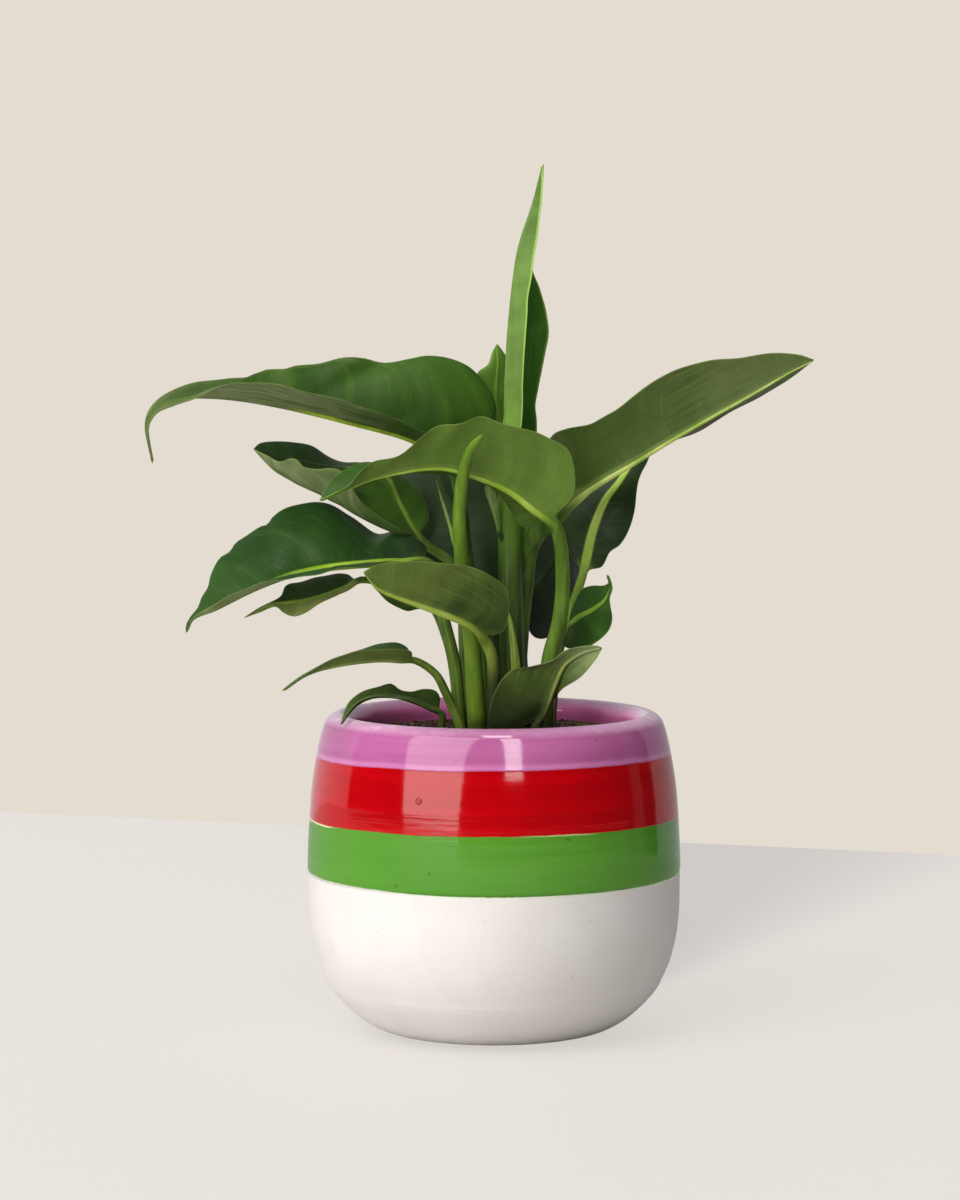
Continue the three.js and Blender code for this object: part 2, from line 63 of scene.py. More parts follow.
# ---- the pot's outline, from the foot up: (radius, height) ----
OUTSIDE = [
    (38, 0), (50, 2.5), (58, 6.9), (65.4, 13.6), (70, 19), (75.2, 29), (78.3, 40), (79.7, 51),
    (POT_RADIUS, 62), (79.9, 76), (79.2, 91), (78, 106), (75.7, 120), (73.2, 130.5), (71.3, 134.6),
]
LIP = [(LIP_RADIUS + 2, POT_HEIGHT - 0.4), (LIP_RADIUS, POT_HEIGHT), (63.4, 136)]
INSIDE = [
    (MOUTH_RADIUS, 132.6), (MOUTH_RADIUS + 0.4, 127), (66.5, 110), (70.4, 88), (71.6, 62),
    (68.8, 36), (61, 19), (46, FLOOR + 1.6), (32, FLOOR),
]

# the lines between the glazes: height at the sides, height at the front and back, how much higher at the
# right, how far the line wanders, and how soft it is
PINK_LINE = (119.3, 120.5, 0.7, 1.8, 0.22)
RED_LINE = (93, 93.9, 0.4, 1.4, 0.16)
GREEN_LINE = (69.7, 69, -0.35, 1.0, 0.12)

# ---- the leaves ----
# stalk runs from the soil to the blade, rib from there to the tip, and left and right are the blade's edges.
# radius is the stalk's at the soil and at the blade, then the rib's. wave is the ripples' (height, number).
# crease is where the left half is folded.
LEAVES = {
    "spear": dict(
        radius=(5.8, 5.1, 2), wave=(0.3, 4), stalk=[(7, -3), (8, -3, 145), (7.5, -2, 173), (6.8, 0, 220)],
        rib=[(6.5, 1, 248), (6.5, 1, 279), (7.9, 0, 307.5), (11.3, 0, 334.5), (17.2, 0, 354), (21, 0, 370)],
        left=[(11, -7, 256), (12.3, -10, 279), (13.2, -10, 297), (14.4, -9, 312), (16.2, -8, 326),
              (18.3, -6, 340), (20, -4, 353)],
        right=[(16.7, 6, 251), (18.3, 7, 261), (17.7, 8, 268), (19, 8.5, 276), (21.2, 9, 285.5),
               (22.9, 9, 294), (22.9, 8, 303), (19.7, 6, 317), (16.4, 4, 326), (16.8, 3, 339)]),
    "bud": dict(
        radius=(2.2, 1.6), wave=(0.3, 3), stalk=[(6, 17), (7, 16, 150), (7, 16, 200)],
        rib=[(3.5, 18, 251), (1, 20, 266), (1, 21, 275), (1.6, 22, 284), (1.3, 23, 294)],
        left=[(-4.3, 17, 259), (-9, 17, 271), (-7, 18, 281.5), (-2.6, 20, 285), (-0.9, 22, 290)],
        right=[(7.8, 25, 259), (9.5, 27, 271), (7.6, 27, 282), (5.2, 25, 288.5)]),
    "upper_left": dict(
        radius=(3.2, 2.4), wave=(0.8, 7), stalk=[(-1, 2), (-5, 3, 168), (-11, 2, 200), (-14.5, 1, 228)],
        rib=[(-20, -1, 245), (-34, -4, 254.2), (-61, -10, 262), (-88, -16, 268.6), (-111, -22, 272.3),
             (-126, -26, 272.8), (-134, -28, 271.8), (-140.6, -30, 268.4), (-145.1, -31, 260.8),
             (-142.9, -31, 244.5)],
        left=[(-23, -13, 252.6), (-34, -22, 259.4), (-48, -30, 265.8), (-64, -35.5, 271.2),
              (-80, -38, 275.2), (-96, -38, 278.6), (-112, -36, 277.4), (-124, -34, 272.2),
              (-134.5, -32.5, 268.2), (-140.4, -32, 265.8), (-144, -32, 260.4)],
        right=[(-7, 9, 252), (1, 12, 266), (-10, 12, 284), (-27, 10, 288.8), (-37, 8, 287.4),
               (-47.4, 6, 286.2), (-56, 3, 288), (-64.4, 1, 288.3), (-75.6, -3, 286), (-84, -6, 284.9),
               (-88.5, -8, 283.5), (-97, -11, 283.6), (-101.3, -13, 281.1), (-113, -17, 279.4),
               (-126, -22, 278.1), (-136, -26, 274.6), (-143, -29, 268.8), (-145.8, -30, 262.4)]),
    "front": dict(
        radius=(3.9, 2.8), wave=(0.7, 6),
        stalk=[(22, -7), (23.6, -9, 160), (27.8, -10, 177), (29, -11, 198)],
        rib=[(26, -14, 217), (16, -18, 226), (5, -22, 234.3), (-8.4, -27, 240), (-22.6, -32, 243.5),
             (-39, -38, 242), (-51.7, -42, 239), (-62, -46, 234.6), (-72.5, -50, 230)],
        left=[(33, -20, 228), (33.7, -26, 241), (30.6, -30, 250.6), (21, -33, 256), (13.8, -35, 259),
              (3, -38, 261.4), (-5.4, -40, 264.4), (-14, -42, 262), (-22.5, -43, 261), (-31, -44, 255.4),
              (-40.4, -45, 248), (-50.6, -48, 246), (-56, -50, 241.5), (-60.5, -50, 236)],
        right=[(19.5, -10, 217.5), (13.7, -9.5, 216), (9, -9.5, 220), (4, -9, 228), (-2, -8, 234),
               (-15.3, -10, 238.5), (-27, -16, 239.5), (-37.5, -22, 240.7), (-48, -27, 244.2),
               (-56.5, -32, 245), (-63.4, -38, 241.4), (-68.6, -44, 237)]),
    "upper_right": dict(
        radius=(4, 5.2, 2.4), wave=(0.6, 6),
        stalk=[(9, 9), (10, 9.4, 160), (12.2, 9, 190), (15.4, 5.5, 210)],
        rib=[(28, 0, 224), (45, -8, 236.6), (55.6, -13, 243.2), (74.3, -20, 254.8), (88, -25, 262.8),
             (106.5, -31, 273.4), (123.7, -36, 283.5), (132.7, -39, 288)],
        left=[(35, 9, 232), (46, 14, 239), (63, 14, 248.4), (84, 8, 255), (94, 2, 261), (104, -6, 267.4),
              (114, -14, 273), (126, -29, 281.8)],
        right=[(23, -3, 240), (21.8, -6, 250), (25, -8.5, 256), (30, -10.5, 258.4), (41.5, -15, 261),
               (50.7, -19, 266.7), (63, -23, 275.7), (74, -27, 283), (87.6, -31, 287), (103, -35, 289),
               (118, -38, 290.8), (127, -39, 290)]),
    "furled": dict(
        radius=(4.2, 2.8), stalk=[(-7, -11), (-8.5, -14, 154), (-10, -18, 174), (-13.5, -24, 201.5)],
        rib=[(-14.7, -29, 221), (-12.8, -35, 241), (-9.4, -40, 251.5), (-4.5, -45, 257)]),
    "back": dict(
        radius=(2.9, 2.2), wave=(1, 5), stalk=[(-1, 12), (-2, 14, 155)],
        rib=[(-8.5, 16, 183), (-13.4, 20, 205), (-17.8, 25, 221), (-23.5, 32, 234.7), (-29, 42, 243.9),
             (-32.6, 55, 248.7), (-34.7, 72, 245.4)],
        left=[(-20, 16, 187), (-31, 19, 199), (-36, 26, 212), (-38.5, 34, 225), (-39.6, 42, 236),
              (-41.5, 53, 241.6), (-40, 65, 244)],
        right=[(0, 19, 188), (5, 23, 200), (6, 29, 215), (3, 36, 228), (-5, 46, 239), (-15, 56, 245),
               (-25.7, 66, 247.3)]),
    "mid_left": dict(
        radius=(2.7, 2), wave=(0.5, 6), stalk=[(-10.5, 9.5), (-12.5, 10.5, 160), (-17, 11, 198)],
        rib=[(-31, 12, 209.5), (-40, 10, 225), (-45.8, 7, 237), (-55, 3, 240.8), (-68, -1, 241.6),
             (-80.5, -6, 244), (-91, -10, 247), (-101.6, -14, 250)],
        crease=[(-38, 4, 212), (-48, 0, 216.6), (-59, -5, 223), (-71.4, -9, 229), (-80.2, -12, 234),
                (-92, -15, 240.4)],
        left=[(-39, 1, 215), (-49.4, -5, 221.5), (-58, -11, 230), (-64.5, -15, 241), (-75, -17, 241.8),
              (-80.4, -18, 242.9), (-83, -18.6, 245.7), (-86, -19, 246.2), (-90, -19, 244.9),
              (-95.5, -17.5, 247.4)],
        right=[(-27.5, 16, 215), (-31.5, 20.5, 230), (-40.5, 19, 238.8), (-52.6, 15, 242.4),
               (-65, 10, 243.5), (-78.3, 3, 250.7), (-87, -2, 252.4), (-99, -10, 252.3)]),
    "big_left": dict(
        radius=(3, 2.4), wave=(0.8, 7), stalk=[(-14, -1), (-15, -3, 142), (-16.2, -5, 156), (-21, -9, 177)],
        rib=[(-27, -14, 201), (-39.7, -19, 203), (-56, -25, 202.6), (-69, -30, 201.4), (-79, -33, 199.8),
             (-87, -37, 198), (-94, -41, 195.6), (-102, -45, 192.2), (-109.5, -47.5, 188.4),
             (-117, -48.5, 184.6), (-122.5, -48.5, 182.6), (-125.8, -48.5, 180.4), (-128, -49, 175)],
        left=[(-35, -25, 201.2), (-46, -33, 201.7), (-55, -39, 201.8), (-62.7, -44, 201.8),
              (-68, -47.5, 200.8), (-74, -50, 199.3), (-84, -53, 198), (-90, -54.5, 197.4), (-97, -55, 196),
              (-103, -55, 193.8), (-109, -54, 191.4), (-115, -52.5, 187.6), (-119.6, -51, 185.2),
              (-124.4, -50, 181.6)],
        right=[(-27.5, 1, 206), (-33, 4, 211), (-37.7, 5, 212.6), (-43.3, 5, 214), (-50, 4, 213),
               (-61.5, 1, 221), (-69.9, -2, 226.4), (-81, -6, 226.4), (-88, -10, 225.2), (-93.5, -13, 221.4),
               (-96, -15, 218), (-98.6, -16, 217.3), (-105, -20, 213.2), (-108.8, -22, 210.6),
               (-111.2, -24, 206.8), (-114.8, -27, 204.8), (-116.6, -28.5, 202.6), (-118.8, -33, 198),
               (-119.6, -37, 193.4), (-122, -41, 189), (-123.4, -44.5, 185), (-125.8, -47, 182.2),
               (-128, -48.5, 178.3)]),
    "low_front": dict(
        radius=(2.9, 2.4), wave=(0.5, 5), stalk=[(-0.4, -17.2), (-0.4, -18.4, 154.6), (-1.2, -19.8, 163.2)],
        rib=[(-4.4, -22, 170), (-10, -27, 176.6), (-20.5, -33, 181.6), (-31, -38, 185.8), (-40, -43, 189.3),
             (-48.6, -47, 193.6), (-54.3, -50, 200.5)],
        left=[(1.8, -24, 170.8), (5.6, -28, 178.4), (6.4, -31, 186.5), (5.4, -33.5, 192), (-1.7, -38, 198.3),
              (-10, -41, 202), (-18.3, -44, 203.8), (-28.7, -47, 204.6), (-39, -49, 204.6),
              (-49, -50, 203.4)],
        right=[(-10, -25, 175.5), (-19, -29, 179.5), (-27, -30, 182.5), (-31.4, -31, 184), (-36, -33, 183),
               (-40.2, -36, 184.5), (-45, -40, 187.8), (-49, -45, 192.6)]),
    "under_left": dict(
        radius=(2, 1.5), wave=(0.4, 4),
        stalk=[(-16, 8), (-17, 7, 150), (-20.5, 5, 168), (-28, 2, 184), (-42, -5, 190.6)],
        rib=[(-56.4, -12, 194.5), (-63, -15, 191.3), (-69.6, -18, 189), (-78.8, -22, 186.7),
             (-88, -26, 185.7), (-94, -29, 185.5), (-99, -31, 182.8), (-105, -33, 180)],
        left=[(-63, -19, 190), (-72.4, -25, 186), (-79.4, -28, 181.7), (-84.3, -30, 180.4),
              (-88.5, -31, 182), (-91.5, -30.5, 184.5), (-98, -31.5, 182.3)],
        right=[(-61, -8, 196.2), (-66.7, -8, 197), (-74, -10, 195.6), (-82, -14, 194), (-88, -19, 192.4),
               (-89.7, -24, 188.5), (-93, -28, 186.4), (-99, -30.5, 183.8)]),
    "right_back": dict(
        radius=(2.2, 1.9), wave=(0.8, 5), stalk=[(21, 10), (28, 13, 163), (33.5, 15, 180)],
        rib=[(38, 15, 194), (42.7, 16, 214), (48, 19, 226.7), (53.7, 23, 234), (61.7, 29, 246),
             (70, 36, 260.7)],
        left=[(34, 16, 201), (29.4, 19, 213.7), (28.6, 24, 224.3), (34, 28, 235), (46, 32, 245.6),
              (59, 35, 255.5)],
        right=[(46, 15, 197.7), (50, 16, 204.5), (54.3, 16, 207.5), (59.6, 19, 218), (61.5, 23, 229),
               (63.4, 26, 237), (66.4, 29, 243.2), (70, 33, 252)]),
    "low_back": dict(
        radius=(2.2, 1.8), wave=(0.6, 4), stalk=[(14, 20), (12.5, 22, 160)],
        rib=[(12, 24, 180), (22, 32, 192), (29, 42, 203), (34.5, 54, 214), (38, 66, 220.5)],
        left=[(7.5, 28, 191), (8.6, 34, 208), (12.4, 43, 219), (25, 56, 223)],
        right=[(16.5, 26, 167.8), (22.5, 32, 165.8), (29.5, 40, 170), (35.6, 50, 184), (40, 60, 202.5)]),
    "small_right": dict(
        radius=(2.1, 1.6), wave=(0.5, 3), stalk=[(24.5, 2), (26.5, 4, 152)],
        rib=[(31, 6, 172), (36, 5, 177), (42, 2, 180.5), (47.5, -3, 185.5), (49.3, -6, 191),
             (47.8, -8, 196.5)],
        left=[(33.5, 7, 181), (37.5, 8, 189), (42, 6, 190.6), (46.6, 2, 191), (49, -3, 193)],
        right=[(30, 5, 164.8), (39, 0, 164.5), (47.2, -6, 170.5), (50.2, -10, 178), (49, -9.5, 186),
               (50.3, -8, 191)]),
    "low_right": dict(
        radius=(2.6, 2.2), wave=(0.4, 4), stalk=[(17.5, -16)],
        rib=[(18.6, -17, 134), (22, -20, 142.2), (25.7, -23, 151.4), (30.3, -27, 160.6), (38, -31, 165.5),
             (45.2, -34, 167.5)],
        left=[(22.5, -17.5, 139), (25.7, -20, 145), (28.6, -24, 149), (36.5, -29, 155), (42.3, -33, 162.3)],
        right=[(9.5, -19.6, 131.2), (1.5, -22.6, 132.2), (-2.2, -23.8, 137), (-0.8, -24.4, 145),
               (2.6, -25, 152.6), (7, -25.6, 157), (14, -27, 158.6), (24, -30, 161.8), (29, -32, 166),
               (36, -33, 168), (43, -34, 168.5)]),
    "sprig_left": dict(
        radius=(2.4, 1.6), wave=(0.3, 4),
        stalk=[(-13.9, -12.6), (-17.6, -14.5, 140.5), (-20.6, -17, 147.5), (-24.8, -21, 155.5)],
        rib=[(-33, -25.5, 161.4), (-40.3, -30, 162.6), (-47.3, -33, 163.1), (-62.6, -40, 161.8),
             (-77.7, -46, 158), (-88.3, -50, 151)],
        left=[(-35, -33, 166), (-41.3, -38, 167.4), (-51, -41, 167.3), (-57, -43, 166.8),
              (-62.4, -45, 165.6), (-72.2, -48, 161.6)],
        right=[(-36, -20, 165.8), (-40.5, -20, 168.4), (-48.4, -23, 168.3), (-55.5, -27, 166.5),
               (-63, -32, 163.8), (-71, -39, 160.6)]),
    "rim_left": dict(
        radius=(1.9, 1.5), wave=(0.4, 3), stalk=[(-22.5, -4.5)],
        rib=[(-22.2, -7, 136.5), (-27, -10, 140), (-33.5, -14, 143.3), (-39.7, -18, 145.6),
             (-45, -22, 146.4), (-51.3, -26, 146.4), (-57.3, -30.5, 144), (-61, -34, 140.4),
             (-64.5, -38, 135.5)],
        left=[(-27, -15, 139.4), (-36, -22, 144.3), (-44.5, -27, 146), (-50.5, -31, 146.6),
              (-56.6, -34, 145), (-61, -37, 140.8)],
        right=[(-22.5, -4, 142), (-24.7, -5, 146.5), (-30, -8, 147.6), (-35, -12, 147), (-40, -16, 148.1),
               (-43.6, -17, 151), (-49.3, -21, 150), (-57, -26, 147.6), (-61.5, -31, 143.8)]),
}

# ---- small sheaths, each with the leaf that it belongs to ----
SHEATHS = {
    "spear_sheath": ("spear", dict(
        radius=(1.8, 1.5, 1), wave=(0.1, 1), stalk=[(9, -11.6)],
        rib=[(9.3, -11.6, 148), (8.9, -12, 160), (7.7, -12, 172), (4.7, -11, 184.8)],
        left=[(7.6, -12.4, 152), (7, -12.8, 163), (5.9, -12.2, 176)],
        right=[(10.9, -10.6, 152), (10.6, -10.8, 163), (8, -11, 176)])),
    # spear_wrap is a sheath wing that fills the dark gap behind the stalks; its dark colours are painted
    # shade
    "spear_wrap": ("spear", dict(
        radius=(1.6, 1.4, 1), wave=(0.1, 1), stalk=[(2.2, 3)],
        rib=[(1.6, 3, 138), (0.4, 3, 156), (-0.6, 3, 172), (-1.4, 3, 190)],
        left=[(-2.4, 2, 144), (-4.4, 2, 158), (-4.8, 2, 174)],
        right=[(3.6, 4, 144), (4.2, 4, 158), (2.8, 4, 174)])),
    "spear_peel": ("spear", dict(
        radius=(1.2, 1.2, 0.8), wave=(0.1, 1), stalk=[(7, -3), (8, -3, 145), (7.5, -2, 173), (6.2, -2, 206)],
        rib=[(2.2, -5, 214), (0.6, -6.5, 220), (-1.2, -7.5, 227), (-3, -8, 236)],
        left=[(1, -6, 217), (-1.8, -7, 226), (-4, -8, 233)],
        right=[(2.8, -5, 219), (1.6, -7, 227), (-0.6, -8, 234)])),
    "furled_sheath": ("furled", dict(
        radius=(1.2, 1.2, 0.8), wave=(0.1, 1),
        stalk=[(-7, -11), (-8.5, -14, 154), (-10, -18, 174), (-13, -23, 198)],
        rib=[(-15.8, -22, 206), (-18.6, -19, 217), (-21.6, -16.5, 227), (-24.6, -14, 237.4)],
        left=[(-17, -20.5, 209), (-19.8, -18, 219.4), (-22.6, -16, 229)],
        right=[(-16.2, -20.5, 211.4), (-18.9, -18, 220.6), (-21.9, -16, 229.9)])),
}

# ---- how each leaf is coloured ----
WHOLE = (-1.2, -1.1)  # the span of a tint that takes in all of the blade


class Look(NamedTuple):
    """A leaf's colours: first four (darker, lighter) pairs, with None for an under that is as upper."""

    upper: tuple
    under: tuple
    stem: tuple
    rib: tuple
    rib_end: tuple = (1.1, 1.5)  # the shares of the blade between which the rib's own colour goes
    shade: tuple = (136, 0.7)  # height and strength of the painted shade that darkens a leaf towards the soil
    streaks: float = 0.2  # how strongly long streaks mark the underside
    rib_width: float = 0.95  # half of what shows of it, in its radii
    patch: tuple = None  # colour and strength of the underside's dull patches
    margin: tuple = ((120, 138, 70), 0.4, 0.6)  # colour, strength and width of the border
    # (where, from, to, colour, strength): where is a half (left, right), a side (under, over), the edges of
    # a side (under_rim, over_rim), all or the stalk, and from and to are shares of the blade, or heights on
    # the stalk
    tints: tuple = ()


LOOKS = {
    "spear": Look(
        ((52, 104, 26), (74, 128, 40)), ((88, 118, 50), (112, 142, 70)), ((46, 66, 26), (70, 96, 36)),
        ((88, 118, 50), (104, 134, 62)), rib_end=(1.5, 1.9), shade=(186, 0.75),
        margin=((152, 186, 84), 0.75, 1.6),
        tints=[("under", 0.5, 0.85, (70, 96, 46), 0.9), ("under", 0.25, 0.02, (122, 156, 60), 0.9),
               ("over", 0.5, 0.2, (84, 136, 44), 0.5), ("stalk", 196, 214, (88, 120, 36), 0.8)]),
    "bud": Look(
        ((82, 124, 44), (102, 146, 56)), ((84, 120, 38), (102, 140, 52)), ((46, 70, 24), (66, 92, 32)),
        ((104, 138, 44), (128, 160, 60)), rib_end=(0.9, 1.3),
        tints=[("left", *WHOLE, (96, 130, 44), 0.8)]),
    "upper_left": Look(
        ((42, 74, 14), (68, 102, 28)), ((84, 100, 54), (122, 132, 90)), ((46, 70, 24), (70, 98, 34)),
        ((148, 180, 44), (176, 204, 64)), rib_end=(0.34, 0.5), streaks=0.9, rib_width=1.7,
        tints=[("under", 0.44, 0.16, (54, 88, 20), 0.95), ("over", 0.55, 0.78, (64, 84, 34), 0.9),
               ("over_rim", 0.4, 0.5, (86, 106, 52), 0.8), ("all", 0.72, 0.92, (98, 108, 62), 0.6)]),
    "front": Look(
        ((44, 78, 26), (62, 98, 38)), ((80, 108, 38), (102, 128, 52)), ((68, 95, 24), (93, 121, 38)),
        ((136, 164, 50), (166, 190, 80)), rib_end=(0.8, 1.2), shade=(146, 0.6), rib_width=0.72,
        tints=[("right", *WHOLE, (52, 80, 24), 0.6)]),
    "upper_right": Look(
        ((50, 68, 30), (60, 78, 38)), ((52, 72, 24), (70, 88, 34)), ((60, 88, 30), (92, 120, 44)),
        ((142, 166, 66), (188, 200, 118)), shade=(160, 0.7), rib_width=0.8, patch=((86, 88, 56), 0.6),
        tints=[("all", 0.5, 0.85, (92, 104, 60), 0.6)]),
    "furled": Look(
        ((84, 110, 30), (104, 130, 44)), None, ((82, 112, 26), (104, 132, 40)),
        ((92, 118, 38), (110, 134, 50)), shade=(138, 0.75),
        tints=[("stalk", 214, 190, (98, 126, 38), 0.5)]),
    # back: its dull dark colours are painted shade, as it stands behind the other leaves
    "back": Look(
        ((44, 60, 36), (58, 74, 44)), ((48, 64, 38), (62, 78, 46)), ((38, 52, 26), (54, 70, 34)),
        ((46, 62, 28), (58, 74, 34)), rib_end=(0.8, 1.2)),
    "mid_left": Look(
        ((38, 60, 28), (54, 78, 36)), ((88, 104, 58), (122, 134, 92)), ((78, 106, 34), (108, 134, 50)),
        ((130, 164, 54), (160, 190, 78)), rib_end=(0.4, 0.6), streaks=0.8,
        tints=[("under", 0.5, 0.25, (72, 96, 42), 0.75), ("over", 0.55, 0.35, (80, 116, 40), 0.9),
               ("under_rim", 0.5, 0.34, (74, 100, 42), 0.9)]),
    "big_left": Look(
        ((28, 60, 16), (46, 78, 28)), ((98, 114, 62), (124, 138, 86)), ((74, 100, 32), (100, 126, 46)),
        ((126, 160, 38), (160, 188, 66)), rib_end=(0.42, 0.66), rib_width=0.85,
        tints=[("over", 0.6, 0.9, (46, 78, 22), 0.6)]),
    "low_front": Look(
        ((38, 66, 20), (50, 82, 30)), ((78, 98, 38), (98, 116, 52)), ((92, 112, 34), (126, 142, 54)),
        ((136, 158, 56), (162, 180, 82)), rib_end=(0.8, 1.2), shade=(164, 0.95),
        tints=[("under", 0.6, 0.2, (30, 54, 18), 0.95), ("right", *WHOLE, (30, 64, 16), 0.9),
               # the stalk tint that darkens from 168 mm down to 148 mm is painted shade at the foot
               ("stalk", 168, 148, (42, 54, 26), 0.9)]),
    "under_left": Look(
        ((56, 78, 44), (68, 92, 52)), ((110, 126, 54), (132, 146, 68)), ((74, 100, 38), (100, 126, 50)),
        ((140, 170, 60), (164, 190, 84)), rib_end=(0.7, 1.1),
        tints=[("left", *WHOLE, (172, 188, 104), 0.9), ("all", 0.72, 0.92, (98, 92, 64), 0.7)]),
    "right_back": Look(
        ((40, 58, 30), (52, 72, 38)), ((52, 76, 32), (66, 92, 40)), ((108, 138, 46), (140, 166, 70)),
        ((160, 196, 72), (190, 216, 104)), rib_end=(0.7, 0.95), rib_width=1.3),
    # low_back: its dull dark colours are painted shade, as it stands low behind the others
    "low_back": Look(
        ((40, 50, 36), (50, 62, 44)), ((46, 58, 36), (56, 70, 44)), ((34, 46, 20), (50, 64, 28)),
        ((38, 52, 24), (50, 66, 30)), rib_end=(0.8, 1.2)),
    "small_right": Look(
        ((38, 66, 20), (54, 86, 32)), ((60, 88, 32), (74, 102, 42)), ((60, 86, 28), (84, 110, 38)),
        ((96, 134, 40), (122, 156, 56)), rib_end=(0.75, 1.1)),
    "low_right": Look(
        ((48, 74, 22), (62, 90, 32)), ((66, 86, 32), (86, 108, 46)), ((120, 134, 54), (148, 158, 78)),
        ((132, 148, 66), (160, 170, 96)), rib_end=(0.55, 0.85), shade=(162, 0.95), rib_width=0.55,
        tints=[("all", 0.45, 0.85, (136, 150, 100), 0.8)]),
    "sprig_left": Look(
        ((48, 74, 30), (64, 90, 40)), ((84, 102, 46), (102, 120, 58)), ((80, 104, 34), (106, 130, 50)),
        ((110, 130, 60), (136, 152, 82)), rib_end=(0.5, 0.9)),
    "rim_left": Look(
        ((72, 94, 44), (86, 110, 54)), ((68, 86, 36), (84, 102, 48)), ((72, 96, 34), (94, 118, 44)),
        ((80, 108, 48), (104, 130, 66)), rib_end=(0.6, 1)),
    "spear_sheath": Look(
        ((124, 152, 56), (150, 174, 78)), None, ((92, 118, 40), (116, 140, 56)),
        ((140, 166, 68), (160, 182, 88)), shade=(148, 0.7)),
    # spear_wrap: its dark colours are painted shade for the enclosed gap between the stalks
    "spear_wrap": Look(
        ((42, 60, 30), (56, 76, 38)), None, ((40, 56, 28), (54, 72, 36)), ((46, 66, 32), (60, 80, 40)),
        shade=(160, 0.7)),
    "spear_peel": Look(
        ((96, 122, 56), (130, 152, 84)), None, ((40, 60, 20), (66, 92, 32)),
        ((110, 136, 62), (140, 160, 90))),
    "furled_sheath": Look(
        ((104, 130, 52), (132, 154, 74)), None, ((82, 112, 26), (104, 132, 40)),
        ((120, 144, 62), (142, 162, 82))),
}

# ---- how finely a leaf is made ----
FINE = 24  # samples between two points of a smooth line
STALK_ROWS = 26
BLADE_ROW = 1.5  # mm along the blade
BLADE_ROWS = (36, 110)  # fewest and most
BLEND = 0.12  # the share of a blade over which its stalk spreads into it
STEADY = (0.2, 0.9)  # the shares of a blade between which its own width turns it
BULGE = 0.16  # how far each half of a blade bulges upward, per width
BLADE_THICKNESS = 0.6
TIP_RADIUS = 0.4
RIB_WIDE = 0.9  # half the rib's width, in its radii
RIB_SHARE = 0.35  # and at most this share of the half blade
RIB_DEPTH = 1.2  # how deep the rib stands under the blade, in its radii
RIB_TOP = 0.18  # how high it stands above it
HALF_SHARES = np.array([1, 0.975, 0.92, 0.84, 0.75, 0.65, 0.55, 0.45, 0.34, 0.22, 0.1])
RIB_ANGLES = (180, 150, 118, 90, 62, 30, 0)  # degrees round the rib, from its left side over the top
STALK_SIDE = (176, 150)  # degrees: where the blade's edge and its inmost line run down the stalk
STALK_TOP = (140, 128, 110, 90, 70, 52, 40)  # degrees: where the rib's lines run down the stalk
VEIN_SPACE = 8.5  # between the side veins, and how they lean to the tip
VEIN_LEAN = 0.35
VEIN_CURVE = 0.012
PLEAT = 0.75  # how much the blade rises and falls along its veins
ROLL = (0.7, 0.045)  # and slowly all over, and how quickly that changes
RIPPLE = 0.35  # the share of a leaf's wave that shows at its edges
FLUTTER = (0.5, 9)  # how far the edges stray, and the length of one stray
GROOVE = (0.14, 0.5)  # how deep the stalk's groove is, in radii, and half its width in radians
EDGE_THINNING = 0.72  # how much thinner the blade is at its edges
FAR_FROM_EDGE = 20.0  # the distance to the edge on the stalk and the rib
WELD = 1e-6  # in metres


# ---- shared tools ----
def linear(colour):
    """An everyday 0 to 255 colour as the numbers that shaders use."""
    parts = [c / 255 for c in colour]
    return tuple(c / 12.92 if c <= 0.04045 else ((c + 0.055) / 1.055) ** 2.4 for c in parts) + (1,)


def smooth_step(value):
    value = np.clip(value, 0, 1)
    return value * value * (3 - 2 * value)


def smooth_line(points):
    """A centripetal Catmull-Rom line through points, FINE samples to each stretch."""
    p = np.array(points, float)
    p = np.vstack([2 * p[0] - p[1], p, 2 * p[-1] - p[-2]])
    s = np.linspace(0, 1, FINE, endpoint=False)[:, None]
    parts = []
    for a, b, c, d in zip(p, p[1:], p[2:], p[3:]):
        before, here, after = (max(np.linalg.norm(v), 1e-6) ** 0.5 for v in (b - a, c - b, d - c))
        leave = ((b - a) / before - (c - a) / (before + here) + (c - b) / here) * here
        arrive = ((c - b) / here - (d - b) / (here + after) + (d - c) / after) * here
        bend = 3 * (c - b) - 2 * leave - arrive
        twist = 2 * (b - c) + leave + arrive
        parts.append(b + leave * s + bend * s**2 + twist * s**3)
    return np.vstack([*parts, p[-2:-1]])


def lengths_to(fine):
    """How far along a line each of its points lies."""
    return np.concatenate([[0], np.cumsum(np.linalg.norm(np.diff(fine, axis=0), axis=1))])


def along(points, shares, first=0, last=-1):
    """The places on a smooth line at shares of the length between two of its points, and that length."""
    fine = smooth_line(points)
    gone = lengths_to(fine)
    start, end = gone[first * FINE], gone[(last % len(points)) * FINE]
    where = start + (end - start) * shares
    return np.stack([np.interp(where, gone, fine[:, axis]) for axis in range(3)], 1), end - start


def unit(vectors):
    return vectors / np.maximum(np.linalg.norm(vectors, axis=-1, keepdims=True), 1e-9)


def drift(*place):
    """Noise from -1 to 1 that changes slowly from place to place."""
    return noise.noise(Vector(place))


def turned(outline, steps):
    """The skin that an outline of (radius, height) sweeps round the upright axis."""
    bm = bmesh.new()
    verts = [bm.verts.new((r * MM, 0, z * MM)) for r, z in outline]
    edges = [bm.edges.new(pair) for pair in zip(verts, verts[1:])]
    bmesh.ops.spin(bm, geom=verts + edges, cent=(0, 0, 0), axis=(0, 0, 1), angle=2 * math.pi, steps=steps,
                   use_merge=True)
    bmesh.ops.remove_doubles(bm, verts=bm.verts, dist=WELD)
    return bm


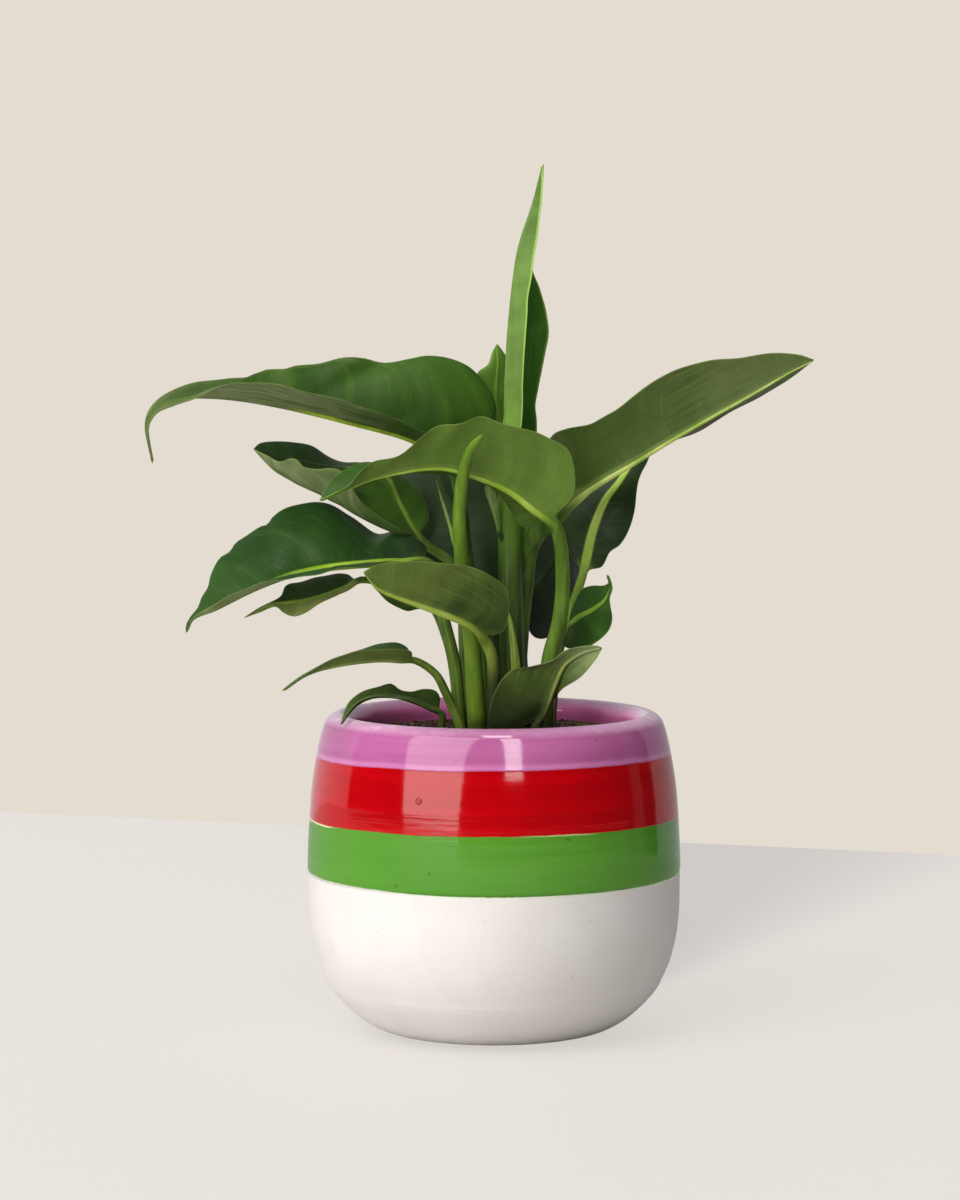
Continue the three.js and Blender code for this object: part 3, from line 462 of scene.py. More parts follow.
def put(name, data):
    """A new object in the scene."""
    made = bpy.data.objects.new(name, data)
    bpy.context.collection.objects.link(made)
    return made


def piece_from(bm, name, material, node, smooth=True):
    mesh = bpy.data.meshes.new(name)
    bm.normal_update()
    bm.to_mesh(mesh)
    bm.free()
    for face in mesh.polygons:
        face.use_smooth = smooth
    mesh.materials.append(material)
    piece = put(name, mesh)
    if node:
        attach(piece, "root")
        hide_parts(node)
    return piece


class Nodes:
    """A tree of nodes being laid out: each method adds one node and gives its output."""

    def __init__(self, tree):
        self.tree = tree

    def feed(self, socket, value):
        if isinstance(value, bpy.types.NodeSocket):
            self.tree.links.new(value, socket)
        else:
            socket.default_value = value

    def add(self, kind, inputs, output=0, **settings):
        node = self.tree.nodes.new(kind)
        for key, value in settings.items():
            setattr(node, key, value)
        for key, value in inputs.items():
            self.feed(node.inputs[key], value)
        return node.outputs[output]

    def maths(self, operation, *values, clamp=False):
        return self.add("ShaderNodeMath", dict(enumerate(values)), operation=operation, use_clamp=clamp)

    def plus(self, *values):
        return reduce(partial(self.maths, "ADD"), values)

    def times(self, *values):
        return reduce(partial(self.maths, "MULTIPLY"), values)

    def line(self, value, slope, start):
        return self.maths("MULTIPLY_ADD", value, slope, start)

    def less(self, first, second):
        return self.maths("SUBTRACT", first, second)

    def mix(self, share, first, second):
        return self.add("ShaderNodeMix", {"Factor": share, 6: first, 7: second}, 2, data_type="RGBA")

    def step(self, value, low, high):
        limits = {"Value": value, "From Min": low, "From Max": high}
        return self.add("ShaderNodeMapRange", limits, interpolation_type="SMOOTHSTEP")

    def parts(self, vector):
        node = self.tree.nodes.new("ShaderNodeSeparateXYZ")
        self.feed(node.inputs[0], vector)
        return node.outputs

    def joined(self, x, y, z):
        return self.add("ShaderNodeCombineXYZ", {0: x, 1: y, 2: z})


class Finish(Nodes):
    """A material being made."""

    def __init__(self, name):
        self.material = bpy.data.materials.new(name)
        self.material.use_nodes = True
        super().__init__(self.material.node_tree)
        self.shader = self.tree.nodes["Principled BSDF"]

    def place(self):
        return self.add("ShaderNodeTexCoord", {}, "Object")

    def attribute(self, name, output="Vector"):
        return self.add("ShaderNodeAttribute", {}, output, attribute_name=name)

    def noise(self, scale, detail=2.0, stretch=(1, 1, 1), vector=None, rough=0.5):
        turned = self.add("ShaderNodeMapping", {"Vector": vector or self.place(), "Scale": stretch})
        inputs = {"Vector": turned, "Scale": scale, "Detail": detail, "Roughness": rough}
        return self.add("ShaderNodeTexNoise", inputs)

    def blend(self, share, pair):
        return self.mix(share, linear(pair[0]), linear(pair[1]))

    def tint(self, colour, tint, *shares):
        """The colour, turned towards a tint by the product of some shares."""
        return self.mix(self.times(*shares), colour, linear(tint))

    def bump(self, height, distance, strength):
        return self.add("ShaderNodeBump", {"Height": height, "Distance": distance, "Strength": strength})

    def plug(self, **sockets):
        for name, value in sockets.items():
            self.feed(self.shader.inputs[name.replace("_", " ")], value)
        return self.material


# ---- the pot ----
GLAZE_THICKNESS = 0.28  # how far the glaze stands out from the bare clay
POT_STEPS = 176
OUTLINE_ROWS = 150  # from the foot over the lip
ROWS_BELOW = 100  # of which these are below the lip
BUBBLE = (-30.8, -70.6, 107.6)  # where one bubble burst in the red glaze
BUBBLE_RIM = (1.7, 1.2)  # it fades in between these distances, and its crater between the next
CRATER_RIM = (0.9, 0.4)
CLAY = ((218, 214, 211), (210, 205, 201))
GREEN = ((72, 132, 32), (86, 146, 42))
RED = ((156, 0, 6), (194, 0, 12))
PINK = ((158, 80, 130), (184, 106, 156))
THIN_PINK = (206, 132, 182)  # along its lower edge
# painted light: the brighter pink that the inside of the mouth is turned to
LIT_INNER_PINK = (240, 128, 190)
LIP_PINK = (224, 192, 216)
CLAY_ROUGHNESS = 0.62
GLAZE_ROUGHNESS = 0.07


def glaze_and_clay():
    f = Finish("glazed_bands")
    place = f.place()
    x, y, z = f.parts(place)
    height = f.times(z, 1 / MM)
    square = f.times(y, y)
    front = f.maths("DIVIDE", square, f.plus(square, f.line(x, x, 1e-7)))
    hand = f.less(f.noise(26, 3, (1, 1, 0.35)), 0.5)
    fray = f.less(f.noise(420, 2, (1, 1, 0.6)), 0.5)

    def above(line):
        sides, middle, lean, wander, soft = line
        edge = f.line(front, middle - sides, sides)
        edge = f.line(x, lean / (POT_RADIUS * MM), edge)
        edge = f.line(hand, wander, edge)
        over = f.less(height, f.line(fray, 0.45, edge))
        return f.step(over, -soft, soft), over

    pink_up, pink_over = above(PINK_LINE)
    red_up, red_over = above(RED_LINE)
    green_up, green_over = above(GREEN_LINE)

    strokes = f.noise(9, 4, (1, 1, 34), rough=0.6)
    brush = f.step(strokes, 0.34, 0.7)
    patches = f.step(f.noise(16, 3, (1, 1, 2.4)), 0.35, 0.7)
    pits = f.step(f.noise(700, 1), 0.76, 0.79)
    grain = f.noise(1500, 2)
    clay = f.blend(f.step(f.noise(9, 3, (1, 1, 1.6)), 0.3, 0.7), CLAY)
    clay = f.tint(clay, (204, 198, 192), f.step(f.noise(60, 4), 0.45, 0.75), 0.3)
    clay = f.tint(clay, (200, 194, 186), f.step(grain, 0.35, 0.65), 0.18)
    clay = f.tint(clay, (128, 118, 108), pits, 0.55)
    stroked = f.plus(f.times(brush, 0.3), f.times(patches, 0.35))
    colour = f.mix(green_up, clay, f.blend(stroked, GREEN))
    pale_foot = f.maths("SUBTRACT", f.step(green_over, -0.7, -0.2), green_up, clamp=True)
    colour = f.tint(colour, (212, 224, 190), pale_foot, 0.7)
    colour = f.mix(red_up, colour, f.blend(stroked, RED))
    # a hair of bare clay shows where the red stops short of the green
    bare_hair = f.maths("SUBTRACT", f.step(red_over, -0.75, -0.45), red_up, clamp=True)
    colour = f.tint(colour, (232, 218, 176), f.step(f.noise(14, 1), 0.5, 0.6), bare_hair)
    colour = f.mix(pink_up, colour, f.blend(stroked, PINK))
    colour = f.tint(colour, THIN_PINK, f.step(pink_over, 3.2, 1.2), f.step(pink_over, 0, 0.8), 0.5)

    away = f.add("ShaderNodeVectorMath", {0: place, 1: Vector(BUBBLE) * MM}, "Value", operation="DISTANCE")
    bubble, crater = (f.step(away, far * MM, near * MM) for far, near in (BUBBLE_RIM, CRATER_RIM))
    colour = f.tint(colour, (120, 0, 14), bubble, 0.6)
    colour = f.tint(colour, (60, 0, 8), crater, 0.5)
    dots = f.step(f.noise(430, 0), 0.872, 0.885)
    colour = f.tint(colour, (60, 30, 34), dots, green_up, 0.6)
    reach = f.maths("SQRT", f.plus(square, f.times(x, x)))
    # painted light: inside the mouth the pink turns brighter, standing in for window light falling on the
    # inner wall
    inside = f.step(reach, (MOUTH_RADIUS + 3) * MM, MOUTH_RADIUS * MM)
    colour = f.tint(colour, LIT_INNER_PINK, inside, pink_up, 0.9)
    # the lip is tinted paler for its thinner glaze, less so at the front and back; the noise flecks in that
    # tint are painted glints
    lip_glints = f.step(f.noise(170, 4, (1, 1, 2), rough=0.7), 0.5, 0.68)
    lip = f.times(f.step(height, 132.5, 136), f.line(lip_glints, 0.35, 0.6))
    colour = f.tint(colour, LIP_PINK, lip, f.less(1.0, f.times(front, 0.7)))

    rough = {"Value": green_up, "To Min": CLAY_ROUGHNESS, "To Max": GLAZE_ROUGHNESS}
    rough = f.plus(f.add("ShaderNodeMapRange", rough), f.times(brush, green_up, 0.03))
    thick = f.plus(f.times(red_up, 0.14), f.times(pink_up, 0.14), f.times(strokes, 0.07))
    thick = f.plus(thick, f.times(bubble, 0.5), f.times(f.noise(110, 2, (1, 1, 2.5)), 0.04))
    thick = f.less(thick, f.times(crater, 0.45))
    bare = f.plus(f.times(grain, 0.08), f.times(f.noise(240, 3), 0.1))
    bare = f.less(bare, f.times(pits, 0.14))
    relief = f.plus(f.times(thick, green_up), f.times(bare, f.less(1.0, green_up)))
    return f.plug(Base_Color=colour, Roughness=rough, Normal=f.bump(relief, MM, 0.8), IOR=1.5)


def make_pot():
    fine = smooth_line([(r, 0, z) for r, z in OUTSIDE + LIP + INSIDE[:2]])
    gone = lengths_to(fine)
    where = np.linspace(0, gone[-1], OUTLINE_ROWS)
    outline = [(np.interp(w, gone, fine[:, 0]), np.interp(w, gone, fine[:, 2])) for w in where]
    # two rows close together make the step from the clay to the glaze
    step_at = GREEN_LINE[0]
    edge = {(79.9, step_at - 0.3), (79.92, step_at + 0.3)}
    outline = sorted(set(outline[:ROWS_BELOW]) | edge, key=lambda p: p[1]) + outline[ROWS_BELOW:]
    inner = smooth_line([(r, 0, z) for r, z in INSIDE[1:]])[::8]
    outline += [(r, z) for r, _, z in inner[1:]]
    bm = turned([(0, 0), *outline, (0, FLOOR)], POT_STEPS)
    for v in bm.verts:
        radius = math.hypot(v.co.x, v.co.y) / MM
        x, y, z = v.co / MM
        if z < 2 or radius < MOUTH_RADIUS + 3 or (z < 128 and radius < 72):
            continue  # the foot and the inside stay as turned
        swell = 0.04 * drift(0.3, 2.7, z * 0.16) + 0.02 * drift(4.1, 0.2, z * 0.7)
        swell += 0.25 * drift(x * 0.02, y * 0.02, z * 0.02)
        bare = 1 - float(smooth_step((z - (step_at - 0.25)) / 0.5))
        inward = (GLAZE_THICKNESS * bare - swell * 0.8 + 0.1) * float(smooth_step((z - 1) / 34))
        v.co.x -= x / radius * inward * MM
        v.co.y -= y / radius * inward * MM
    bmesh.ops.recalc_face_normals(bm, faces=bm.faces)
    return piece_from(bm, "glazed_pot", glaze_and_clay(), "pot")


# ---- the soil ----
SOIL_RINGS = 46
SOIL_STEPS = 144
SOIL_GAP = 0.3  # between the soil and the pot
CRUMBS = 1500
CRUMB_SIZE = (0.5, 1.5)
BIG_CRUMBS = (0.06, 1.6)  # their share, and how much bigger they are
SPLINTERS = (0.9, 2.2)  # the shade above which a crumb is one, and how much longer it is
SOIL_SEED = 11


def soil_height(x, y):
    """How high the soil stands at x, y, all in mm."""
    radius = math.hypot(x, y)
    crown = SOIL_CROWN * max(0.0, 1 - (radius / MOUTH_RADIUS) ** 2)
    lumps = 0.9 * drift(x * 0.09, y * 0.09, 5.2) + 0.45 * drift(x * 0.3, y * 0.3, 1.7)
    return SOIL_TOP + crown + lumps * min(1.0, (MOUTH_RADIUS - radius) / 6 + 0.25) - 0.4


def soil_finish():
    f = Finish("potting_mix")
    x, _, _ = f.parts(f.place())
    tone = f.attribute("tone", "Fac")
    colour = f.blend(f.step(f.noise(300, 4), 0.35, 0.7), ((40, 24, 18), (74, 44, 30)))
    colour = f.tint(colour, (96, 58, 36), f.step(tone, 0.55, 0.75))
    colour = f.tint(colour, (150, 122, 84), f.step(tone, 0.8, 0.95))
    # towards the right side the soil turns olive and paler
    olive_side = f.step(f.plus(f.times(x, 14.0), f.noise(90, 3)), 0.85, 1.15)
    olive = f.blend(f.noise(500, 2), ((84, 78, 34), (140, 116, 76)))
    colour = f.mix(f.times(olive_side, 0.75), colour, olive)
    grain = f.plus(f.noise(1200, 4), f.times(f.noise(4000, 2), 0.4))
    return f.plug(Base_Color=colour, Roughness=0.92, Normal=f.bump(grain, 0.8 * MM, 0.9), IOR=1.35)


def make_soil(finish):
    wall = [(r, z) for r, z in INSIDE if z < SOIL_TOP]
    rings = [(r, SOIL_TOP) for r in np.linspace(0, MOUTH_RADIUS - SOIL_GAP, SOIL_RINGS)]
    outline = rings + [(r - SOIL_GAP, z) for r, z in wall[:-2]] + [(44, FLOOR + 3), (0, FLOOR + 1)]
    bm = turned(outline, SOIL_STEPS)
    tone = bm.verts.layers.float.new("tone")
    for v in bm.verts:
        v[tone] = 0.3
        if v.co.z > (SOIL_TOP - 0.5) * MM:
            v.co.z = soil_height(v.co.x / MM, v.co.y / MM) * MM
    bmesh.ops.recalc_face_normals(bm, faces=bm.faces)
    return piece_from(bm, "soil_bed", finish, "soil")


def make_crumbs(finish):
    rng = random.Random(SOIL_SEED)
    bm = bmesh.new()
    tone = bm.verts.layers.float.new("tone")
    leaves = [*LEAVES.values(), *(leaf for _, leaf in SHEATHS.values())]
    feet = [(*leaf["stalk"][0][:2], leaf["radius"][0]) for leaf in leaves]
    made = 0
    while made < CRUMBS:
        angle, radius = rng.uniform(0, 2 * math.pi), math.sqrt(rng.random()) * (MOUTH_RADIUS - 1.2)
        x, y = radius * math.cos(angle), radius * math.sin(angle)
        size = rng.uniform(*CRUMB_SIZE) * (BIG_CRUMBS[1] if rng.random() < BIG_CRUMBS[0] else 1)
        near = min(math.hypot(x - foot_x, y - foot_y) - wide for foot_x, foot_y, wide in feet)
        if near < size * 0.7 or radius + size > MOUTH_RADIUS - 0.6:
            continue
        shade = rng.random()
        stretch = Vector((rng.uniform(0.5, 1.5), rng.uniform(0.4, 1), rng.uniform(0.35, 0.9)))
        if shade > SPLINTERS[0]:
            stretch.x *= SPLINTERS[1]
        turn = Matrix.Rotation(rng.uniform(0, 6.3), 4, "Z") @ Matrix.Rotation(rng.uniform(-0.6, 0.6), 4, "X")
        lift = Matrix.Translation(Vector((x, y, soil_height(x, y) + size * 0.1)) * MM)
        grow = Matrix.Diagonal((*(stretch * size * 0.5 * MM), 1))
        ball = bmesh.ops.create_icosphere(bm, subdivisions=1, radius=1, matrix=lift @ turn @ grow)
        for v in ball["verts"]:
            v[tone] = shade
            v.co += Vector([rng.uniform(-0.12, 0.12) * size * MM for _ in range(3)])
        made += 1
    return piece_from(bm, "soil_crumbs", finish, "soil", smooth=False)


# ---- a leaf ----
def leaf_lines(leaf):
    """The rows of a leaf from its foot to its tip: centre, share of the blade, length run, rib's reach."""
    stalk, rib, radius = leaf["stalk"], leaf["rib"], leaf["radius"]
    x, y = stalk[0]
    foot, collar = (x, y, SOIL_TOP - ROOT_DEPTH), (x, y, SOIL_TOP + COLLAR)
    spine = [foot, collar, *stalk[1:], *rib]
    base = len(stalk) + 1
    s = np.linspace(0, 1, STALK_ROWS, endpoint=False)
    stalk_at, stalk_length = along(spine, s, 1, base)
    _, blade_length = along(spine, s, base)
    rows = int(np.clip(blade_length / BLADE_ROW, *BLADE_ROWS))
    t = np.linspace(0, 1, rows, endpoint=False)
    blade_at, _ = along(spine, t, base)
    at = np.vstack([[foot], stalk_at, blade_at])
    share = np.concatenate([[-1], s - 1, t])
    run = np.where(share < 0, share * stalk_length, share * blade_length)
    rib_radius = radius[-1]
    taper = 1 - t if "left" in leaf else np.sqrt(1 - t * t)
    slim = TIP_RADIUS + (rib_radius - TIP_RADIUS) * taper
    slim = slim + (radius[1] - rib_radius) * np.maximum(1 - t / BLEND, 0)
    reach = np.concatenate([[radius[0]], radius[0] + (radius[1] - radius[0]) * s, slim])
    return at, share, run, reach


def edge_line(leaf, side, shares):
    """The places on one edge of a blade, or on its crease, at shares of its length."""
    return along([leaf["rib"][0], *leaf[side], leaf["rib"][-1]], shares)[0]


def blade_sheet(leaf, at, blade, run, reach, across, up, ahead):
    """The middle sheet of a blade, which way it faces, and how far each point lies from rib and edge."""
    half = len(HALF_SHARES)
    rows, columns = len(at), 2 * half + len(RIB_ANGLES)
    height, number = leaf["wave"]
    ripple = RIPPLE * height * np.sin(2 * math.pi * number * blade) * np.sin(math.pi * blade)
    left, right = (edge_line(leaf, side, blade) for side in ("left", "right"))
    outward = unit(right - left)
    far, long = FLUTTER
    stray = [[drift(r / long, at[0, 0], side) for side in (3.1, 7.7)] for r in run]
    stray = np.array(stray) * (far * np.sin(math.pi * blade))[:, None]
    left = left - up * ripple[:, None] + (up - outward) * stray[:, :1]
    right = right + up * ripple[:, None] + (up + outward) * stray[:, 1:]
    crease = edge_line(leaf, "crease", blade) if "crease" in leaf else None
    sheet = np.zeros((rows, columns, 3))
    lateral, rib = np.zeros((rows, columns)), np.zeros((rows, columns))
    margin = np.full((rows, columns), FAR_FROM_EDGE)
    beside_both = []
    for sign, edge, fold in ((-1, left, crease), (1, right, None)):
        shares = HALF_SHARES[::-sign]
        picked = slice(0, half) if sign < 0 else slice(columns - half, columns)
        width = np.linalg.norm(edge - at, axis=1)
        beside = np.minimum(RIB_WIDE * reach, RIB_SHARE * width)
        beside_both.append(beside)
        start = (at + across * (sign * beside)[:, None])[:, None]
        s = shares[None, :, None]
        if fold is None:
            points = start + (edge[:, None] - start) * s
            points += up[:, None] * (BULGE * width)[:, None, None] * s * (1 - s)
        else:
            through = 2 * fold[:, None] - (start + edge[:, None]) / 2
            points = start * (1 - s) ** 2 + through * 2 * s * (1 - s) + edge[:, None] * s**2
        sheet[:, picked] = points
        lateral[:, picked] = width[:, None] * shares
        margin[:, picked] = width[:, None] * (1 - shares)
        rib[:, picked] = 1 + lateral[:, picked] / np.maximum(reach, 0.3)[:, None]
    beside = (beside_both[0] + beside_both[1]) / 2
    for k, angle in enumerate(RIB_ANGLES, half):
        turn = math.cos(math.radians(angle))
        sheet[:, k] = at + across * (turn * beside)[:, None]
        rib[:, k] = abs(turn)

    # the blade rises and falls along its side veins, and slowly all over
    seed = sum(leaf["rib"][0])
    vein_run = run[:, None] - VEIN_LEAN * lateral - VEIN_CURVE * lateral**2
    signed = np.zeros(columns)
    signed[:half], signed[-half:] = -1, 1
    quiet = smooth_step(lateral / 6) * smooth_step(margin / 7 + 0.15) * np.sin(math.pi * blade)[:, None]
    relief = np.zeros((rows, columns))
    for i in range(rows):
        for k in range(columns):
            if quiet[i, k] > 0:
                fold = drift(vein_run[i, k] / VEIN_SPACE, lateral[i, k] * 0.03, seed + signed[k])
                slow = noise.noise(Vector(sheet[i, k]) * ROLL[1])
                relief[i, k] = (PLEAT * fold + ROLL[0] * slow) * quiet[i, k]
    normal = np.cross(np.gradient(sheet, axis=1), ahead[:, None])
    lengths = np.linalg.norm(normal, axis=2, keepdims=True)
    normal = np.where(lengths > 1e-3, normal / np.maximum(lengths, 1e-9), up[:, None])
    return sheet + normal * relief[:, :, None], normal, lateral, margin, rib


def leaf_rows(leaf):
    """Every point of a leaf's skin, row by row, with what its material needs to know about each."""
    at, share, run, reach = leaf_lines(leaf)
    half = len(HALF_SHARES)
    rows, columns = len(at), 2 * half + len(RIB_ANGLES)
    blade = np.clip(share, 0, 1)
    ahead = unit(np.gradient(np.vstack([at, [leaf["rib"][-1]]]), axis=0)[:-1])
    ahead[:2] = (0, 0, 1)
    has_blade = "left" in leaf
    if has_blade:
        held = np.clip(blade, *STEADY)
        left, right = (edge_line(leaf, side, held) for side in ("left", "right"))
        across = unit(right - left)
    else:
        across = np.tile((1.0, 0, 0), (rows, 1))
    across = unit(across - ahead * np.sum(across * ahead, axis=1, keepdims=True))
    up = unit(np.cross(across, ahead))

    # the round skin of the stalk
    outer, inner = (math.radians(a) for a in STALK_SIDE)
    side = outer + (inner - outer) * (1 - HALF_SHARES) / (1 - HALF_SHARES[-1])
    angles = np.concatenate([side, np.radians(STALK_TOP), (math.pi - side)[::-1]])
    cos, sin = np.cos(angles)[None, :, None], np.sin(angles)[None, :, None]
    size = reach[:, None, None]
    groove = 1 - GROOVE[0] * np.exp(-(((angles - math.pi / 2) / GROOVE[1]) ** 2))[None, :, None]
    aside, lifted = across[:, None] * cos * size, up[:, None] * sin * size
    top = at[:, None] + aside + lifted * (groove if has_blade else 1)
    bottom = at[:, None] + aside - lifted
    signed = np.concatenate([-HALF_SHARES, np.zeros(len(RIB_ANGLES)), HALF_SHARES[::-1]])
    place = np.zeros((rows, columns, 3))
    place[:, :, 0] = run[:, None]
    place[:, :, 2] = signed
    part = np.zeros((rows, columns, 3))  # share of the blade, how much it is stalk, distance to the edge
    part[:, :, 0] = share[:, None]
    if not has_blade:
        part[:, :, 1:] = 1, FAR_FROM_EDGE
        return top, bottom, place, part, np.full((rows, columns), 2.0)

    made = blade_sheet(leaf, at, blade, run, reach, across, up, ahead)
    sheet, normal, place[:, :, 1], part[:, :, 2], rib = made
    thin = BLADE_THICKNESS / 2 * (1 - EDGE_THINNING * np.abs(signed) ** 7)
    rise = np.zeros(columns)
    rise[half:-half] = np.sin(np.radians(RIB_ANGLES))
    over = thin + rise * RIB_TOP * reach[:, None]
    under = thin + rise * RIB_DEPTH * reach[:, None]
    blend = smooth_step(blade / BLEND)[:, None, None]
    on_rib = np.zeros(columns, bool)
    on_rib[half:-half] = True
    direction = np.where(on_rib[None, :, None], up[:, None], normal)
    top = top + (sheet + direction * over[:, :, None] - top) * blend
    bottom = bottom + (sheet - direction * under[:, :, None] - bottom) * blend
    part[:, :, 1] = 1 - blend[:, :, 0]
    return top, bottom, place, part, rib


def make_leaf(name, leaf, finish, node):
    top, bottom, place, part, rib = leaf_rows(leaf)
    rows, columns = top.shape[:2]
    around = 2 * columns
    bm = bmesh.new()
    bm.loops.layers.uv.new("leaf_skin")
    layers = {key: bm.verts.layers.float_vector.new(key) for key in ("leaf_place", "leaf_part", "leaf_side")}
    bmesh.ops.create_grid(bm, x_segments=around, y_segments=rows + 1, size=1, calc_uvs=True)
    foot = (top[0].mean(axis=0) + bottom[0].mean(axis=0)) / 2
    tip = np.array(leaf["rib"][-1], float)
    for v in bm.verts:
        column = round((v.co.x + 1) / 2 * around) % around
        row = round((v.co.y + 1) / 2 * (rows + 1)) - 1
        here = min(max(row, 0), rows - 1)
        under = column >= columns
        k = around - 1 - column if under else column
        point = foot if row < 0 else tip if row == rows else (bottom if under else top)[here, k]
        v.co = Vector(point) * MM
        v[layers["leaf_place"]] = Vector(place[here, k])
        v[layers["leaf_part"]] = Vector(part[here, k])
        v[layers["leaf_side"]] = Vector((float(under), rib[here, k], 0))
    bmesh.ops.remove_doubles(bm, verts=bm.verts, dist=2 * WELD)
    bmesh.ops.recalc_face_normals(bm, faces=bm.faces)
    return piece_from(bm, name, finish, node)


def leaf_finish(name, look):
    f = Finish(name + "_green")
    run, lateral, across = f.parts(f.attribute("leaf_place"))
    share, stalk, margin = f.parts(f.attribute("leaf_part"))
    under, rib, _ = f.parts(f.attribute("leaf_side"))
    _, _, z = f.parts(f.place())
    right_half = f.maths("GREATER_THAN", across, 0.0)
    lean = f.times(lateral, f.line(lateral, VEIN_CURVE, VEIN_LEAN))
    vein_run = f.less(run, lean)
    half_apart = f.times(right_half, 40.0)
    by_veins = f.joined(vein_run, f.times(lateral, 0.1), half_apart)
    by_rib = f.joined(f.times(run, 0.06), lateral, half_apart)
    bands = f.noise(0.11, 3, vector=by_veins)
    lines = f.noise(0.9, 2, vector=by_veins)
    long_streaks = f.step(f.noise(0.55, 3, vector=by_rib), 0.34, 0.66)
    broad = f.noise(26, 2)
    mottle = f.noise(150, 3)

    soft = f.plus(f.times(f.step(bands, 0.38, 0.64), 0.6), f.times(f.step(broad, 0.36, 0.66), 0.4))
    streaks, below_pair = look.streaks, look.under or look.upper
    below = f.plus(f.times(soft, 0.8 * (1 - streaks)), f.times(long_streaks, streaks))
    below = f.blend(f.plus(below, f.times(f.step(mottle, 0.4, 0.7), 0.2 * (1 - streaks))), below_pair)
    if look.patch:
        tint, strength = look.patch
        below = f.tint(below, tint, f.step(f.noise(34, 4), 0.46, 0.64), strength)
    colour = f.mix(under, f.blend(soft, look.upper), below)
    colour = f.tint(colour, below_pair[1], f.step(lines, 0.55, 0.75), 0.1)
    colour = f.tint(colour, look.upper[0], f.step(lines, 0.45, 0.3), 0.14)
    over = f.less(1.0, under)
    rim = f.step(f.plus(margin, f.times(long_streaks, -3.0)), 6, -1)
    where = {"left": f.less(1.0, right_half), "right": right_half, "under": under, "over": over,
             "under_rim": f.times(under, rim), "over_rim": f.times(over, rim), "all": 1.0}
    for place, start, end, tint, strength in look.tints:
        if place != "stalk":
            ramp = f.plus(share, f.times(f.less(long_streaks, 0.5), 0.12))
            faded = f.times(f.step(ramp, start, end), where[place], strength)
            colour = f.mix(faded, colour, f.mix(f.times(soft, 0.5), linear(tint), colour))
    vein_at = f.maths("ABSOLUTE", f.less(f.maths("FRACT", f.maths("DIVIDE", vein_run, VEIN_SPACE)), 0.5))
    vein = f.times(f.step(vein_at, 0.45, 0.5), f.step(mottle, 0.35, 0.65), f.step(broad, 0.35, 0.6))
    colour = f.tint(colour, look.rib[0], vein, 0.1)
    colour = f.tint(colour, (66, 62, 34), f.step(f.noise(240, 2), 0.75, 0.8), 0.3)
    tint, strength, wide = look.margin
    colour = f.tint(colour, tint, f.step(margin, wide, wide * 0.35), strength)

    glow = f.blend(f.step(f.noise(70, 2), 0.3, 0.7), look.rib)
    rib_from, rib_to = look.rib_end
    left_rib = f.step(share, rib_to, rib_from)
    wide = look.rib_width
    colour = f.mix(f.times(f.step(rib, wide + 0.8, wide), left_rib, 0.16), colour, glow)
    colour = f.mix(f.times(f.step(rib, wide + 0.1, wide - 0.1), left_rib), colour, glow)

    stem = f.blend(f.step(f.noise(60, 3, (5, 5, 0.7)), 0.35, 0.68), look.stem)
    pale_side = f.step(f.maths("ABSOLUTE", across), 0.86, 0.97)
    stem = f.tint(stem, tuple(c + 40 for c in look.stem[1]), pale_side, 0.35)
    colour = f.mix(stalk, colour, stem)
    for place, start, end, tint, strength in look.tints:
        if place == "stalk":
            colour = f.tint(colour, tint, f.step(z, start * MM, end * MM), stalk, strength)
    # painted shade: below its height the leaf darkens towards the soil, for the shade among the crowded
    # stalks at the foot
    high, strength = look.shade
    dark = f.step(f.plus(z, f.times(f.less(f.noise(90, 3), 0.5), 0.012)), high * MM, (SOIL_TOP + 2) * MM)
    colour = f.tint(colour, (24, 31, 14), dark, strength)

    rough = f.plus(f.line(under, 0.14, 0.36), f.times(mottle, 0.14))
    relief = f.plus(f.times(lines, 0.05), f.times(f.noise(1800, 2), 0.03))
    relief = f.plus(relief, f.times(long_streaks, under, 0.04 * streaks))
    relief = f.plus(relief, f.times(vein, f.line(under, 0.08, -0.04)))
    return f.plug(Base_Color=colour, Roughness=rough, Normal=f.bump(relief, MM, 0.6), IOR=1.42,
                  Specular_IOR_Level=0.18)


# ---- the floor, the light and the camera ----
WALL_COLOUR = (228, 220, 209)
SKY_COLOUR = (250, 250, 252)
TABLE_COLOUR = (223, 218, 212)
# painted light: the table as mirrored in the glaze is a darker copy of its colour, and as it bounces light
# onto the pot a paler one
TABLE_IN_MIRROR = (166, 163, 158)
TABLE_BOUNCE = (222, 220, 218)
TABLE_EVEN = 0.85  # the share of the table's look that no shadow falls on
TABLE_BACK = ((-2.6, 1.486), (2.6, -0.246))  # the line where the table ends, behind the pot
TABLE_FRONT = -3.5
# the pot's soft shadow, painted into the table's colour, in metres: each line is (slope, start) as it goes
# to the back
SHADOW_COLOUR = (200, 196, 192)
SHADOW_MIDDLE = (0.15, 0.02)
SHADOW_CORE = (0.07, 0.012)
SHADOW_EDGE = (0.425, 0.005)
SHADOW_START = (0.02, 0.16)
WALL_FROM = (0.263, 0.252)  # how far back the pale wall begins: what the right side adds, and the left's
WALL_LIGHT = (-0.28, 0.72)  # its brightness, in the same way
ROOM_LIGHT = 0.035
CEILING = (0.3, 0.85, 0.3)  # from, to, brightness
DOOR = ((0.12, 0.13), (0.3, 0.29), 0.12)  # how far back its sides are, and its brightness
LIGHT_DISTANCE = 4
LIGHT_AIM = Vector((0, 0, 0.12))
LIGHT_COLOUR = (1.0, 0.99, 0.97)
